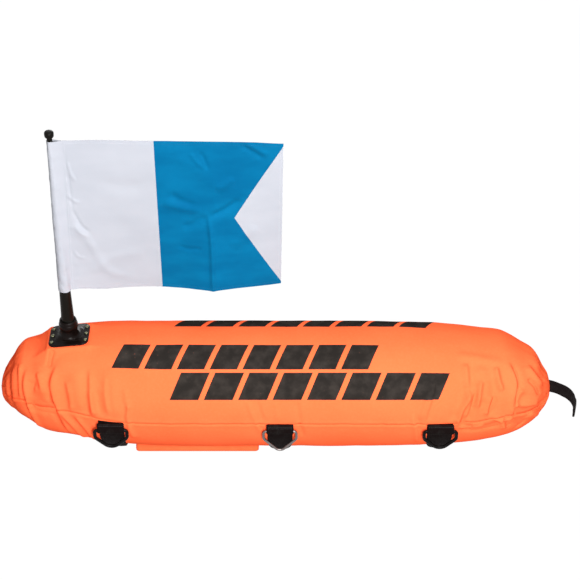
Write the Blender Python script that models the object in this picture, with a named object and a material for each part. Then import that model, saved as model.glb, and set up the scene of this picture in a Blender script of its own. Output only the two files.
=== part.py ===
"""Dive flag float: an inflated fabric torpedo that carries a signal flag on a pull-out mast.

The float lies along X and rests at z = 0. The origin is under the middle of its length.
Angles round the body start at the near seam (-Y), pass over the top at 90 degrees and reach
the far seam (+Y) at 180 degrees. Lengths are in metres.
"""

import math

import bmesh
import bpy
import numpy as np
from mathutils import Vector

# General clearances
GAP = 0.0003
CUT_OVERRUN = 0.004

# Body: outer size of the inflated cover
BODY_LENGTH = 0.838
BODY_RADIUS = 0.0955
LEFT_END_LENGTH = 0.215
RIGHT_END_LENGTH = 0.230
LEFT_END_POWER = 2.0
RIGHT_END_POWER = 3.0
LEFT_RISE = 0.0075
LEFT_RISE_RUN = 0.115
LEFT_TIP_DROP = 0.005
RIGHT_TIP_DROP = 0.006
TIP_RUN = 0.045
BELLY_PRESS = 0.0006

# Walls of the soft shells
COVER_WALL = 0.0010
BLADDER_WALL = 0.0008
BLADDER_SLACK = 0.020
BLADDER_END_LENGTH = 0.060
LINING_WALL = 0.0010
SEAM_TAPE_WIDTH = 0.014
NOSE_ROOM = 0.036

# Webbing straps round the belly
WEBBING_WIDTH = 0.038
WEBBING_WALL = 0.0018
END_STRAP_INSET = 0.1738
MIDDLE_STRAP_FROM_LEFT_END = 0.4255
STRAP_ABOVE_SEAM = 0.001

# Rings and the webbing keepers that hold them
KEEPER_WALL = 0.0016
KEEPER_ABOVE_SEAM = 0.0035
RING_BELOW_SEAM = 0.0075
BAR_CLEARANCE = 0.00035
STEEL_WIRE = 0.004
STEEL_RING_WIDTH = 0.053
STEEL_RING_DROP = 0.0366
STEEL_SIDE_DROP = 0.015
STEEL_CORNER_RADIUS = 0.0045
STEEL_TIP_RADIUS = 0.009
PLASTIC_FACE = 0.0052
PLASTIC_DEPTH = 0.0042
PLASTIC_RING_WIDTH = 0.0532
PLASTIC_RING_DROP = 0.0318
PLASTIC_SIDE_DROP = 0.0145
PLASTIC_CORNER_RADIUS = 0.0045
PLASTIC_TIP_RADIUS = 0.014

# Belly pocket and its weight
POCKET_FROM_LEFT_END = 0.2027
POCKET_LENGTH = 0.1895
POCKET_WIDTH = 0.098
POCKET_DEPTH = 0.0122
POCKET_CORNER = 0.006
POCKET_TAPER = 0.002
POCKET_LEAD = 0.008
POCKET_WALL = 0.0010
WEIGHT_LENGTH = 0.150
WEIGHT_WIDTH = 0.068
WEIGHT_THICKNESS = 0.0085
WEIGHT_EDGE = 0.0025

# Mast socket: a moulded plate that follows the cover, with a boss
MAST_FROM_LEFT_END = 0.110
PLATE_LENGTH = 0.060
PLATE_WIDTH = 0.050
PLATE_CORNER = 0.009
PLATE_THICKNESS = 0.0028
PLATE_TILT_DEGREES = 6.0
PLATE_LIFT = 0.0014
PLATE_MARGIN = 0.005
PLATE_BLEND = 0.012
PLATEAU_MARGIN = 0.0095
PLATEAU_HEIGHT = 0.0016
BOSS_HEIGHT = 0.0325
BOSS_FOOT_RADIUS = 0.0152
BOSS_WAIST_RADIUS = 0.0124
BOSS_RIM_RADIUS = 0.0138
BOSS_MOUTH_RADIUS = 0.0116
BOSS_FLOOR = 0.0030
BOSS_HEIGHT_SHARES = (0.06, 0.15, 0.38, 0.50, 0.66, 0.88, 1.0)
BACKING_MARGIN = 0.001
RIVET_RADIUS = 0.0015
RIVET_HEAD_RADIUS = 0.0029
RIVET_HEAD_HEIGHT = 0.0011
RIVET_EDGE = 0.0048
RIVET_PITCH = 0.0155
RIVET_DOME_SHARES = ((1.0, 0.0), (0.85, 0.6), (0.4, 1.0))

# Mast
MAST_FOOT_RADIUS = 0.0096
MAST_SHOULDER_RADIUS = 0.0083
MAST_NECK_RADIUS = 0.0037
MAST_SPIGOT_HEIGHT = 0.0345
MAST_SHOULDER_HEIGHT = 0.0810
MAST_CLEARANCE = 0.0004
TIP_RADIUS = 0.0070
TIP_HEIGHT = 0.0113
TIP_SEAT = 0.0060
TIP_PROFILE_SHARES = ((0.80, 0.0), (1.0, 0.16), (1.0, 0.72), (0.86, 0.9), (0.5, 1.0))

# Flag cloth, cut as a rectangle with a white triangle let into the fly
FLAG_LENGTH = 0.3053
FLAG_HEIGHT = 0.2603
FLAG_CLOTH = 0.0005
FLAG_BELOW_TIP = 0.0052
SLEEVE_ROOM = 0.00035
SLEEVE_HEM = 0.007
SLEEVE_FLARE = 0.0068
HOIST_PANEL_END = 0.1426
NOTCH_DEPTH = 0.068
NOTCH_CORNER = 0.0135
FLY_TIP_SHARE = 0.01
FLY_DROP = 0.0047
FLY_GATHER = 0.0045
FOLD_BACK = 0.014
FOLD_SPAN_SHARE = 0.68
FLY_BACK = 0.021
FOLD_FADE_POWER = 1.4

# Towing tail at the right end and the closure inside it
TOW_WIDTH = 0.0275
TOW_WALL = 0.0018
TOW_TAIL_INSIDE = 0.030
TOW_REACH = 0.0428
TOW_FALL = 0.0613
TOW_TWIST_DEGREES = 18.0
TOW_ROUTE_SHARES = ((0.20, 0.045), (0.40, 0.15), (0.56, 0.25), (0.70, 0.364), (0.82, 0.49), (0.912, 0.63),
                    (0.97, 0.80), (1.0, 1.0))
TOW_HEM = 0.014
TOW_HEM_WALL = 0.0036
CLOSURE_LENGTH = 0.070
CLOSURE_WIDTH = 0.018
CLOSURE_WALL = 0.0010
CLOSURE_FROM_TIP = 0.014

# Inflation valve on the far side of the right end
VALVE_FROM_RIGHT_END = 0.115
VALVE_ANGLE_DEGREES = 163.0
VALVE_TUBE_RADIUS = 0.0070
VALVE_BORE_RADIUS = 0.0044
VALVE_FLANGE_RADIUS = 0.0120
VALVE_STANDOFF = 0.0090
PLUG_CLEARANCE = 0.0004
PLUG_HEAD_RADIUS = 0.0080
PLUG_HEAD_HEIGHT = 0.0026
PLUG_DEPTH = 0.0090
PLUG_LEAD_SHARE = 0.85
PLUG_EDGE_SHARE = 0.6
PLUG_CROWN_SHARE = 0.7
FLANGE_MIDDLE_SHARE = 0.7
EYELET_HOLE_RADIUS = 0.0080
EYELET_WIDTH = 0.0050
EYELET_WALL = 0.0012

# Mesh counts
COVER_SEGMENTS = 24
BLADDER_SEGMENTS = 28
RING_SIDES = 8
ARC_STEPS = 4
PLATE_SIDES = 40
MAST_SIDES = 20
VALVE_SIDES = 20
POCKET_SIDE_STEPS = 8
RIVET_SIDES = 10
KEEPER_SIDES = 16
KEEPER_FIRST_DEGREES = 158.0
KEEPER_STEP_DEGREES = 22.5
KEEPER_STEPS = 10
FLAG_ROWS = 12
FLAG_HOIST_COLUMNS = 9
FLAG_BLUE_COLUMNS = 13
FLAG_FLY_COLUMNS = 5
SLEEVE_STEPS = 13
LEFT_STATION_DEGREES = 10.0
LEFT_STATIONS = 10
RIGHT_STATION_SHARES = (0.0, 0.01, 0.04, 0.09, 0.17, 0.28, 0.42, 0.56, 1.0)
SEAM_TAPE_FIRST_SHARE = 0.09

# Colours, as linear values
ORANGE = (1.0, 0.27, 0.095)
BLACK_WEBBING = (0.012, 0.011, 0.011)
BLACK_PLASTIC = (0.014, 0.014, 0.014)
STEEL = (0.42, 0.41, 0.40)
WHITE_CLOTH = (0.78, 0.79, 0.83)
BLUE_CLOTH = (0.0, 0.205, 0.50)
VINYL = (0.55, 0.56, 0.58)
LEAD = (0.16, 0.16, 0.17)

# Places that follow from the sizes above
TOW_TWIST = math.radians(TOW_TWIST_DEGREES)
TOW_SPREAD = TOW_WIDTH / 2 * math.sin(TOW_TWIST) + TOW_HEM_WALL / 2 * math.cos(TOW_TWIST)
MAST_HEIGHT = MAST_SHOULDER_HEIGHT + FLAG_HEIGHT + FLAG_BELOW_TIP + TIP_SEAT
OVERALL_LENGTH = BODY_LENGTH + TOW_WALL + TOW_REACH + TOW_SPREAD
LEFT_TIP = -OVERALL_LENGTH / 2
RIGHT_TIP = LEFT_TIP + BODY_LENGTH
BELLY_HEIGHT = WEBBING_WALL + GAP
AXIS_HEIGHT = BODY_RADIUS + BELLY_HEIGHT - BELLY_PRESS
LINING_INSET = COVER_WALL + 2 * GAP
BLADDER_INSET = LINING_INSET + LINING_WALL + 4 * GAP
POCKET_START = LEFT_TIP + POCKET_FROM_LEFT_END
POCKET_END = POCKET_START + POCKET_LENGTH
POCKET_X = (POCKET_START + POCKET_END) / 2
MAST_X = LEFT_TIP + MAST_FROM_LEFT_END
LEFT_STRAP_X = LEFT_TIP + END_STRAP_INSET
MIDDLE_STRAP_X = LEFT_TIP + MIDDLE_STRAP_FROM_LEFT_END
RIGHT_STRAP_X = RIGHT_TIP - END_STRAP_INSET


def smooth(value):
    """0 below 0, 1 above 1, and the cubic 3v^2 - 2v^3 between them."""
    share = np.clip(value, 0.0, 1.0)
    return share * share * (3.0 - 2.0 * share)


def left_distance(x):
    return x - LEFT_TIP


def right_distance(x):
    return RIGHT_TIP - x


def body_radius(x, inset):
    """Radius of the body's round section at x, for a skin that lies inset below its surface.

    Each end is part of a superellipse: sqrt(1 - (1 - share)^power) of the full radius.
    """
    left = np.clip((left_distance(x) - inset) / (LEFT_END_LENGTH - inset), 0.0, 1.0)
    right = np.clip((right_distance(x) - inset) / (RIGHT_END_LENGTH - inset), 0.0, 1.0)
    left_share = np.sqrt(1.0 - (1.0 - left) ** LEFT_END_POWER)
    right_share = np.sqrt(1.0 - (1.0 - right) ** RIGHT_END_POWER)
    return (BODY_RADIUS - inset) * left_share * right_share


def seam_height(x):
    """Height of the side seams: level, lifted along the left end, dipping at both tips."""
    from_left, from_right = left_distance(x), right_distance(x)
    lift = smooth(from_left / TIP_RUN) * smooth((LEFT_END_LENGTH - from_left) / LEFT_RISE_RUN)
    left_dip = 1.0 - smooth(from_left / TIP_RUN)
    right_dip = 1.0 - smooth(from_right / TIP_RUN)
    return AXIS_HEIGHT + LEFT_RISE * lift - LEFT_TIP_DROP * left_dip - RIGHT_TIP_DROP * right_dip


def belly_height(x, slack=0.0):
    """Lowest height of the cover: pressed flat on the straps, and higher over the pocket."""
    over = np.minimum(x - (POCKET_START - POCKET_LEAD), POCKET_END + POCKET_LEAD - x) + slack
    pocket_top = POCKET_DEPTH + GAP
    return BELLY_HEIGHT + (pocket_top - BELLY_HEIGHT) * np.clip(over / POCKET_LEAD, 0.0, 1.0)


def seat_height(x):
    """Height at x of the flat, slightly tilted patch of cover that the mast's plate sits on."""
    at_mast = seam_height(MAST_X) + body_radius(MAST_X, 0.0) + PLATE_LIFT
    return at_mast + (x - MAST_X) * math.tan(math.radians(PLATE_TILT_DEGREES))


def seat_weight(x, y):
    """1 under the plate, fading to 0 beyond its edges."""
    reach = PLATE_MARGIN + PLATE_BLEND
    along = smooth((PLATE_LENGTH / 2 + reach - np.abs(x - MAST_X)) / PLATE_BLEND)
    return along * smooth((PLATE_WIDTH / 2 + reach - np.abs(y)) / PLATE_BLEND)


def on_body(x, angle, inset, with_seat=True, slack=0.0):
    """Points of a skin inset below the body's surface, at x and at an angle in radians.

    The section is round; it is pressed flat below, and lifted flat under the mast's plate.
    """
    x, angle = np.broadcast_arrays(x, angle)
    radius = body_radius(x, inset)
    y = -radius * np.cos(angle)
    z = seam_height(x) + radius * np.sin(angle)
    if with_seat:
        weight = np.where(np.sin(angle) > 0.0, seat_weight(x, y), 0.0)
        z = z + weight * (seat_height(x) - inset - z)
    return np.stack([x, y, np.maximum(z, belly_height(x, slack) + inset)], axis=-1)


def end_station(side, share, inset, nose):
    """x of a station that lies at a share of an end's length, drawn in with the inset."""
    if side == "left":
        return LEFT_TIP + inset + (LEFT_END_LENGTH - inset) * share
    reach = inset + nose
    return RIGHT_TIP - reach - (RIGHT_END_LENGTH - reach) * share


def body_stations():
    """Stations along the body as (side, place): shares of an end, or an x in the middle."""
    half = WEBBING_WIDTH / 2
    left_x = [LEFT_STRAP_X - half, LEFT_STRAP_X + half, POCKET_START - POCKET_LEAD, POCKET_START]
    left_x += [MAST_X - PLATE_LENGTH / 2, MAST_X + PLATE_LENGTH / 2]
    left_shares = [1.0 - math.cos(math.radians(LEFT_STATION_DEGREES * step)) for step in range(LEFT_STATIONS)]
    left_shares += [left_distance(x) / LEFT_END_LENGTH for x in left_x]
    right_shares = list(RIGHT_STATION_SHARES)
    right_shares += [right_distance(RIGHT_STRAP_X + side * half) / RIGHT_END_LENGTH for side in (-1, 1)]
    middle_x = [POCKET_X, POCKET_END, POCKET_END + POCKET_LEAD]
    middle_x += [MIDDLE_STRAP_X - half, MIDDLE_STRAP_X + half]
    stations = [("left", share) for share in sorted(left_shares)]
    stations += [("middle", x) for x in sorted(middle_x)]
    stations += [("right", share) for share in sorted(right_shares, reverse=True)]
    return stations


def station_x(stations, inset, nose=0.0):
    return np.array([place if side == "middle" else end_station(side, place, inset, nose)
                     for side, place in stations])


def clear_scene():
    for item in list(bpy.data.objects):
        bpy.data.objects.remove(item, do_unlink=True)


def make_material(name, colour, roughness, metallic=0.0):
    material = bpy.data.materials.new(name)
    material.use_nodes = True
    shader = material.node_tree.nodes["Principled BSDF"]
    shader.inputs["Base Color"].default_value = (*colour, 1.0)
    shader.inputs["Roughness"].default_value = roughness
    shader.inputs["Metallic"].default_value = metallic
    material.diffuse_color = (*colour, 1.0)
    return material


def add_mesh(name, points, faces, material, origin=(0.0, 0.0, 0.0), sharp_degrees=35.0):
    """One closed solid from world points, its origin at the given place."""
    origin = Vector(origin)
    mesh = bpy.data.meshes.new(name)
    mesh.from_pydata([Vector(point) - origin for point in points], [], faces)
    model = bmesh.new()
    model.from_mesh(mesh)
    bmesh.ops.remove_doubles(model, verts=model.verts, dist=GAP / 100)
    bmesh.ops.dissolve_degenerate(model, edges=model.edges, dist=GAP / 100)
    bmesh.ops.recalc_face_normals(model, faces=model.faces)
    model.to_mesh(mesh)
    model.free()
    mesh.materials.append(material)
    mesh.shade_smooth()
    mesh.set_sharp_from_angle(angle=math.radians(sharp_degrees))
    item = bpy.data.objects.new(name, mesh)
    item.location = origin
    bpy.context.collection.objects.link(item)
    return item


def grid_faces(rows, columns, close_rows=False, close_columns=False, start=0):
    """Quads between neighbouring rows of points; a closed direction wraps round."""
    faces = []
    for row in range(rows if close_rows else rows - 1):
        for column in range(columns if close_columns else columns - 1):
            a = start + row * columns + column
            b = start + row * columns + (column + 1) % columns
            step = ((row + 1) % rows - row) * columns
            faces.append((a, b, b + step, a + step))
    return faces


def loft(rings, close_loop=False):
    """Points and faces of a solid through equal closed rings, capped or closed on itself."""
    rows, columns = len(rings), len(rings[0])
    points = [tuple(point) for ring in rings for point in ring]
    faces = grid_faces(rows, columns, close_rows=close_loop, close_columns=True)
    if not close_loop:
        faces.append(tuple(range(columns)))
        faces.append(tuple(range((rows - 1) * columns, rows * columns)))
    return points, faces


def sheet_solid(outer, inner):
    """Points and faces of a thin solid between two equal grids, closed at its four edges."""
    rows, columns = outer.shape[:2]
    count = rows * columns
    points = [tuple(p) for p in outer.reshape(-1, 3)] + [tuple(p) for p in inner.reshape(-1, 3)]
    faces = grid_faces(rows, columns) + grid_faces(rows, columns, start=count)
    border = list(range(columns))
    border += [row * columns + columns - 1 for row in range(1, rows)]
    border += [(rows - 1) * columns + column for column in range(columns - 2, -1, -1)]
    border += [row * columns for row in range(rows - 2, 0, -1)]
    for here, there in zip(border, border[1:] + border[:1]):
        faces.append((here, there, there + count, here + count))
    return points, faces


def cut(item, cutter):
    """Take the cutter's space out of the item, and leave the cutter as a hidden guide."""
    cutter.hide_render = True
    cutter.hide_viewport = False
    cutter.display_type = "WIRE"
    modifier = item.modifiers.new("Cut " + cutter.name, "BOOLEAN")
    modifier.operation = "DIFFERENCE"
    modifier.solver = "EXACT"
    modifier.object = cutter


def rod_points(foot, direction, radius, length, sides):
    """Points and faces of a round rod from its foot along a direction."""
    axis = Vector(direction).normalized()
    across = axis.orthogonal().normalized()
    other = axis.cross(across)
    rings = []
    for height in (0.0, length):
        centre = Vector(foot) + axis * height
        rings.append([centre + (across * math.cos(turn) + other * math.sin(turn)) * radius
                      for turn in np.linspace(0.0, 2 * math.pi, sides, endpoint=False)])
    return loft(rings)


def add_cutter(name, solids):
    """One guide object from several (points, faces) solids."""
    points, faces = [], []
    for some_points, some_faces in solids:
        start = len(points)
        points += some_points
        faces += [tuple(start + index for index in face) for face in some_faces]
    return add_mesh(name, points, faces, make_material(name, STEEL, 0.5))


# Cover, lining and bladder

def half_cover(name, first_degrees, last_degrees, lift, material):
    """Half of the cover, from seam to seam, moved off the seam plane by lift."""
    stations = body_stations()
    angles = np.radians(np.linspace(first_degrees, last_degrees, COVER_SEGMENTS + 1))
    skins = []
    for inset in (0.0, COVER_WALL):
        x = station_x(stations, inset)
        skins.append(on_body(x[:, None], angles[None, :], inset) + (0.0, 0.0, lift))
    return add_mesh(name, *sheet_solid(*skins), material, sharp_degrees=50.0)


def seam_tape(name, centre_degrees, material):
    """Strip inside one side seam, between the cover and the bladder."""
    stations = [item for item in body_stations() if item[0] == "middle" or item[1] >= SEAM_TAPE_FIRST_SHARE]
    half = SEAM_TAPE_WIDTH / 2 / BODY_RADIUS
    angles = math.radians(centre_degrees) + np.linspace(-half, half, 3)
    skins = []
    for inset in (LINING_INSET, LINING_INSET + LINING_WALL):
        x = station_x(stations, inset)
        skins.append(on_body(x[:, None], angles[None, :], inset))
    return add_mesh(name, *sheet_solid(*skins), material)


def bladder_skin(name, inset, material):
    """Closed skin inside the cover: under the plate, and short of the right end's closure."""
    stations = body_stations()
    angles = np.linspace(0.0, 2 * math.pi, BLADDER_SEGMENTS, endpoint=False)
    x = station_x(stations, inset, NOSE_ROOM)
    reach = inset + NOSE_ROOM
    share = np.clip((right_distance(x) - reach) / BLADDER_END_LENGTH, 0.0, 1.0)
    taper = np.sqrt(1.0 - (1.0 - share) ** 2)
    skin = on_body(x[:, None], angles[None, :], inset, with_seat=False, slack=BLADDER_SLACK)
    above = skin[:, :, 2] - (seat_height(x)[:, None] - inset)
    skin[:, :, 2] -= seat_weight(x[:, None], skin[:, :, 1]) * np.maximum(above, 0.0)
    centre = np.stack([x, np.zeros_like(x), seam_height(x)], axis=-1)[:, None, :]
    skin = centre + (skin - centre) * taper[:, None, None]
    points = [tuple(point) for point in skin.reshape(-1, 3)]
    faces = grid_faces(len(stations), BLADDER_SEGMENTS, close_columns=True)
    return add_mesh(name, points, faces, material, sharp_degrees=50.0)


def bladder(material, hole):
    """Air bladder: a thin skin, hollow and open at the valve."""
    item = bladder_skin("bladder", BLADDER_INSET, material)
    cut(item, bladder_skin("bladder_room_cutter", BLADDER_INSET + BLADDER_WALL, material))
    cut(item, hole)
    return item


# Webbing straps, keepers and rings

def girth_strap(name, strap_x, material):
    """Webbing from the near seam under the belly to the far seam."""
    x = strap_x + np.linspace(-WEBBING_WIDTH / 2, WEBBING_WIDTH / 2, 3)[:, None]
    above = STRAP_ABOVE_SEAM / BODY_RADIUS
    under = np.radians(np.linspace(0.0, -180.0, COVER_SEGMENTS + 1))
    angles = np.concatenate([[above], under, [-math.pi - above]])[None, :]
    skins = [on_body(x, angles, inset, with_seat=False) for inset in (-GAP, -GAP - WEBBING_WALL)]
    return add_mesh(name, *sheet_solid(*skins), material)


def bar_place(strap_x, side, bar_radius):
    """Centre of a ring's bar: clear of the strap behind it, below the side seam."""
    across = strap_x + np.linspace(-WEBBING_WIDTH / 2, WEBBING_WIDTH / 2, 3)
    reach = body_radius(across, -GAP - WEBBING_WALL).max()
    out = reach + GAP + KEEPER_WALL + BAR_CLEARANCE + bar_radius
    return Vector((strap_x, side * out, seam_height(strap_x) - RING_BELOW_SEAM))


def reach_inside(outline, turn):
    """Distance from zero to a convex outline, in the direction of a turn."""
    reach = math.inf
    for (x0, y0), (x1, y1) in zip(outline, outline[1:] + outline[:1]):
        normal_x, normal_y = y1 - y0, x0 - x1
        facing = normal_x * math.cos(turn) + normal_y * math.sin(turn)
        if facing > 0.0:
            reach = min(reach, (normal_x * x0 + normal_y * y0) / facing)
    return reach


def ring_keeper(name, bar, side, bar_radius, material):
    """Short webbing folded round a ring's bar, its two layers sewn together above it."""
    hole = bar_radius + BAR_CLEARANCE
    outer = hole + KEEPER_WALL
    top = RING_BELOW_SEAM + KEEPER_ABOVE_SEAM
    bends = np.radians(KEEPER_FIRST_DEGREES + KEEPER_STEP_DEGREES * np.arange(KEEPER_STEPS))
    outline = [(outer * math.cos(turn), outer * math.sin(turn)) for turn in bends]
    corners = [(outer, top), (outer - 2 * KEEPER_WALL, top)]
    outline += corners
    turns = list(np.linspace(0.0, 2 * math.pi, KEEPER_SIDES, endpoint=False))
    turns = sorted(turns + [math.atan2(up, across) for across, up in corners])
    reaches = [reach_inside(outline, turn) for turn in turns]
    half = WEBBING_WIDTH / 2
    rings = []
    bores = [hole] * len(turns)
    for x, around in ((-half, reaches), (half, reaches), (half, bores), (-half, bores)):
        rings.append([(bar.x + x, bar.y - side * reach * math.cos(turn), bar.z + reach * math.sin(turn))
                      for turn, reach in zip(turns, around)])
    return add_mesh(name, *loft(rings, close_loop=True), material)


def tip_corner(half, drop, side_drop, tip_radius):
    """Height of the sharp corner whose arc of tip_radius just reaches down to drop."""
    corner = drop
    for _ in range(12):
        half_angle = math.atan2(half, corner - side_drop)
        corner = drop + tip_radius * (1.0 / math.sin(half_angle) - 1.0)
    return corner


def ring_path(width, drop, side_drop, corner_radius, tip_radius):
    """Closed path of a five-sided ring in (across, down): bar, two sides and a blunt point.

    Each corner is an arc that touches both of its sides.
    """
    half = width / 2
    corners = [((-half, 0.0), corner_radius), ((half, 0.0), corner_radius),
               ((half, -side_drop), corner_radius * 2),
               ((0.0, -tip_corner(half, drop, side_drop, tip_radius)), tip_radius),
               ((-half, -side_drop), corner_radius * 2)]
    places = [Vector(place) for place, _ in corners]
    path = []
    for index, (_, radius) in enumerate(corners):
        here = places[index]
        before = (places[index - 1] - here).normalized()
        after = (places[(index + 1) % len(places)] - here).normalized()
        half_angle = before.angle(after) / 2
        centre = here + (before + after).normalized() * (radius / math.sin(half_angle))
        touch = radius / math.tan(half_angle)
        first = here + before * touch - centre
        last = here + after * touch - centre
        turn = math.atan2(first.x * last.y - first.y * last.x, first.dot(last))
        for spin in np.linspace(0.0, turn, ARC_STEPS):
            path.append(centre + Vector((first.x * math.cos(spin) - first.y * math.sin(spin),
                                         first.x * math.sin(spin) + first.y * math.cos(spin))))
    return path


def swing_ring(name, bar, path, face, depth, material):
    """Ring that hangs from its bar: an oval section carried round the closed path."""
    rings = []
    count = len(path)
    turns = np.radians(np.linspace(0.0, 360.0, RING_SIDES, endpoint=False) + 180.0 / RING_SIDES)
    for index, here in enumerate(path):
        along = (path[(index + 1) % count] - path[index - 1]).normalized()
        normal = Vector((along.y, -along.x))
        rings.append([(bar.x + here.x + normal.x * face / 2 * math.cos(turn),
                       bar.y + depth / 2 * math.sin(turn),
                       bar.z + here.y + normal.y * face / 2 * math.cos(turn)) for turn in turns])
    return add_mesh(name, *loft(rings, close_loop=True), material, origin=bar, sharp_degrees=60.0)


# Belly pocket and weight

def rounded_rectangle(length, width, corner, steps):
    """Outline points of a rounded rectangle centred on zero, anticlockwise."""
    points = []
    for quarter in range(4):
        sign_x = 1 if quarter in (0, 3) else -1
        sign_y = 1 if quarter in (0, 1) else -1
        centre = (sign_x * (length / 2 - corner), sign_y * (width / 2 - corner))
        for turn in np.radians(np.linspace(90.0 * quarter, 90.0 * (quarter + 1), steps)):
            points.append((centre[0] + corner * math.cos(turn), centre[1] + corner * math.sin(turn)))
    return points


def under_belly(x, y, clearance):
    """Height just below the cover at (x, y)."""
    radius = body_radius(x, 0.0)
    round_height = seam_height(x) - math.sqrt(radius * radius - y * y)
    return max(round_height, belly_height(x)) - clearance


def pocket_outline(inset, taper):
    """Outline of the pocket, with extra points along its sides to follow the belly."""
    outline = rounded_rectangle(POCKET_LENGTH - 2 * inset, POCKET_WIDTH - 2 * (inset + taper),
                                POCKET_CORNER - inset, 4)
    dense = []
    for index, (x0, y0) in enumerate(outline):
        x1, y1 = outline[(index + 1) % len(outline)]
        steps = 1 if (index + 1) % 4 else POCKET_SIDE_STEPS
        for step in range(steps):
            share = step / steps
            dense.append((POCKET_X + x0 + (x1 - x0) * share, y0 + (y1 - y0) * share))
    return dense


def ballast_pocket(material):
    """Flat fabric tray under the belly, open to the cover that it is sewn to."""
    outer_high = pocket_outline(0.0, POCKET_TAPER)
    rim = [under_belly(x, y, GAP) for x, y in outer_high]
    rings = [[(x, y, 0.0) for x, y in pocket_outline(0.0, 0.0)],
             [(x, y, z) for (x, y), z in zip(outer_high, rim)],
             [(x, y, z) for (x, y), z in zip(pocket_outline(POCKET_WALL, POCKET_TAPER), rim)],
             [(x, y, POCKET_WALL) for x, y in pocket_outline(POCKET_WALL, 0.0)]]
    return add_mesh("ballast_pocket", *loft(rings), material)


def ballast_weight(material):
    """Flat bar with rounded edges that lies in the pocket."""
    floor = POCKET_WALL + GAP
    rings = []
    for height, inset in ((0.0, WEIGHT_EDGE), (WEIGHT_EDGE, 0.0),
                          (WEIGHT_THICKNESS - WEIGHT_EDGE, 0.0), (WEIGHT_THICKNESS, WEIGHT_EDGE)):
        outline = rounded_rectangle(WEIGHT_LENGTH - 2 * inset, WEIGHT_WIDTH - 2 * inset, POCKET_CORNER * 2, 5)
        rings.append([(POCKET_X + x, y, floor + height) for x, y in outline])
    return add_mesh("ballast_weight", *loft(rings), material)


# Mast socket and mast

def plate_reach(turn, length, width, corner):
    """Distance from the centre of a rounded rectangle to its outline, in a direction."""
    across, up = abs(math.cos(turn)), abs(math.sin(turn))
    reach = 0.5 / max(across / length, up / width)
    centre_x, centre_y = length / 2 - corner, width / 2 - corner
    if reach * across > centre_x and reach * up > centre_y:
        along = centre_x * across + centre_y * up
        side = centre_x * up - centre_y * across
        reach = along + math.sqrt(corner * corner - side * side)
    return reach


def plate_ring(turns, share, shrink, raise_by):
    """Ring of points on the plate: a share of the shrunk outline, raised above the cover."""
    ring = []
    for turn in turns:
        reach = share * plate_reach(turn, PLATE_LENGTH - 2 * shrink, PLATE_WIDTH - 2 * shrink,
                                    max(PLATE_CORNER - shrink, PLATE_CORNER / 3))
        x = MAST_X + reach * math.cos(turn)
        ring.append((x, reach * math.sin(turn), seat_height(x) + raise_by))
    return ring


def level_ring(turns, radius, height):
    return [(MAST_X + radius * math.cos(turn), radius * math.sin(turn), height) for turn in turns]


def rivet_places():
    """Three rivets along each short side of the plate."""
    reach = PLATE_LENGTH / 2 - RIVET_EDGE
    return [(MAST_X + side * reach, step * RIVET_PITCH) for side in (-1, 1) for step in (-1, 0, 1)]


def rivet_cutter(name, radius):
    rods = []
    for x, y in rivet_places():
        foot = seat_height(x) - BLADDER_INSET - CUT_OVERRUN
        rods.append(rod_points((x, y, foot), (0, 0, 1), radius, BLADDER_INSET + 3 * CUT_OVERRUN, RIVET_SIDES))
    return add_cutter(name, rods)


def socket_turns():
    return np.linspace(0.0, 2 * math.pi, PLATE_SIDES, endpoint=False)


def mast_socket(material, holes):
    """Moulded plate that follows the cover, a raised plateau, and a boss with a bulging rim."""
    turns = socket_turns()
    under, top = GAP, GAP + PLATE_THICKNESS
    base = socket_base()
    edge = PLATE_THICKNESS / 4
    rings = [plate_ring(turns, 1.0, edge, under), plate_ring(turns, 1.0, 0.0, under + edge),
              plate_ring(turns, 1.0, 0.0, top - edge), plate_ring(turns, 1.0, edge, top),
              plate_ring(turns, 1.0, PLATEAU_MARGIN, top),
              plate_ring(turns, 1.0, PLATEAU_MARGIN + edge, top + PLATEAU_HEIGHT)]
    shoulder = BOSS_WAIST_RADIUS + (BOSS_FOOT_RADIUS - BOSS_WAIST_RADIUS) / 4
    radii = (BOSS_FOOT_RADIUS, shoulder, BOSS_WAIST_RADIUS, BOSS_WAIST_RADIUS, BOSS_RIM_RADIUS,
             BOSS_RIM_RADIUS, BOSS_MOUTH_RADIUS)
    rings += [level_ring(turns, radius, base + PLATEAU_HEIGHT + (BOSS_HEIGHT - PLATEAU_HEIGHT) * share)
              for radius, share in zip(radii, BOSS_HEIGHT_SHARES)]
    bore = MAST_FOOT_RADIUS + MAST_CLEARANCE
    rings += [level_ring(turns, bore, base + BOSS_HEIGHT), level_ring(turns, bore, socket_floor())]
    item = add_mesh("mast_socket", *loft(rings), material)
    cut(item, holes)
    return item


def socket_base():
    """Height of the plate's top at the mast."""
    return seat_height(MAST_X) + GAP + PLATE_THICKNESS


def socket_floor():
    return seat_height(MAST_X) + GAP + BOSS_FLOOR


def backing_plate(material, holes):
    """Stiff plate behind the rivets, inside the cover."""
    turns = socket_turns()[::2]
    top, bottom = -LINING_INSET, -LINING_INSET - LINING_WALL
    rings = [plate_ring(turns, 1.0, BACKING_MARGIN, height) for height in (top, bottom)]
    item = add_mesh("socket_backing_plate", *loft(rings), material)
    cut(item, holes)
    return item


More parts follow.
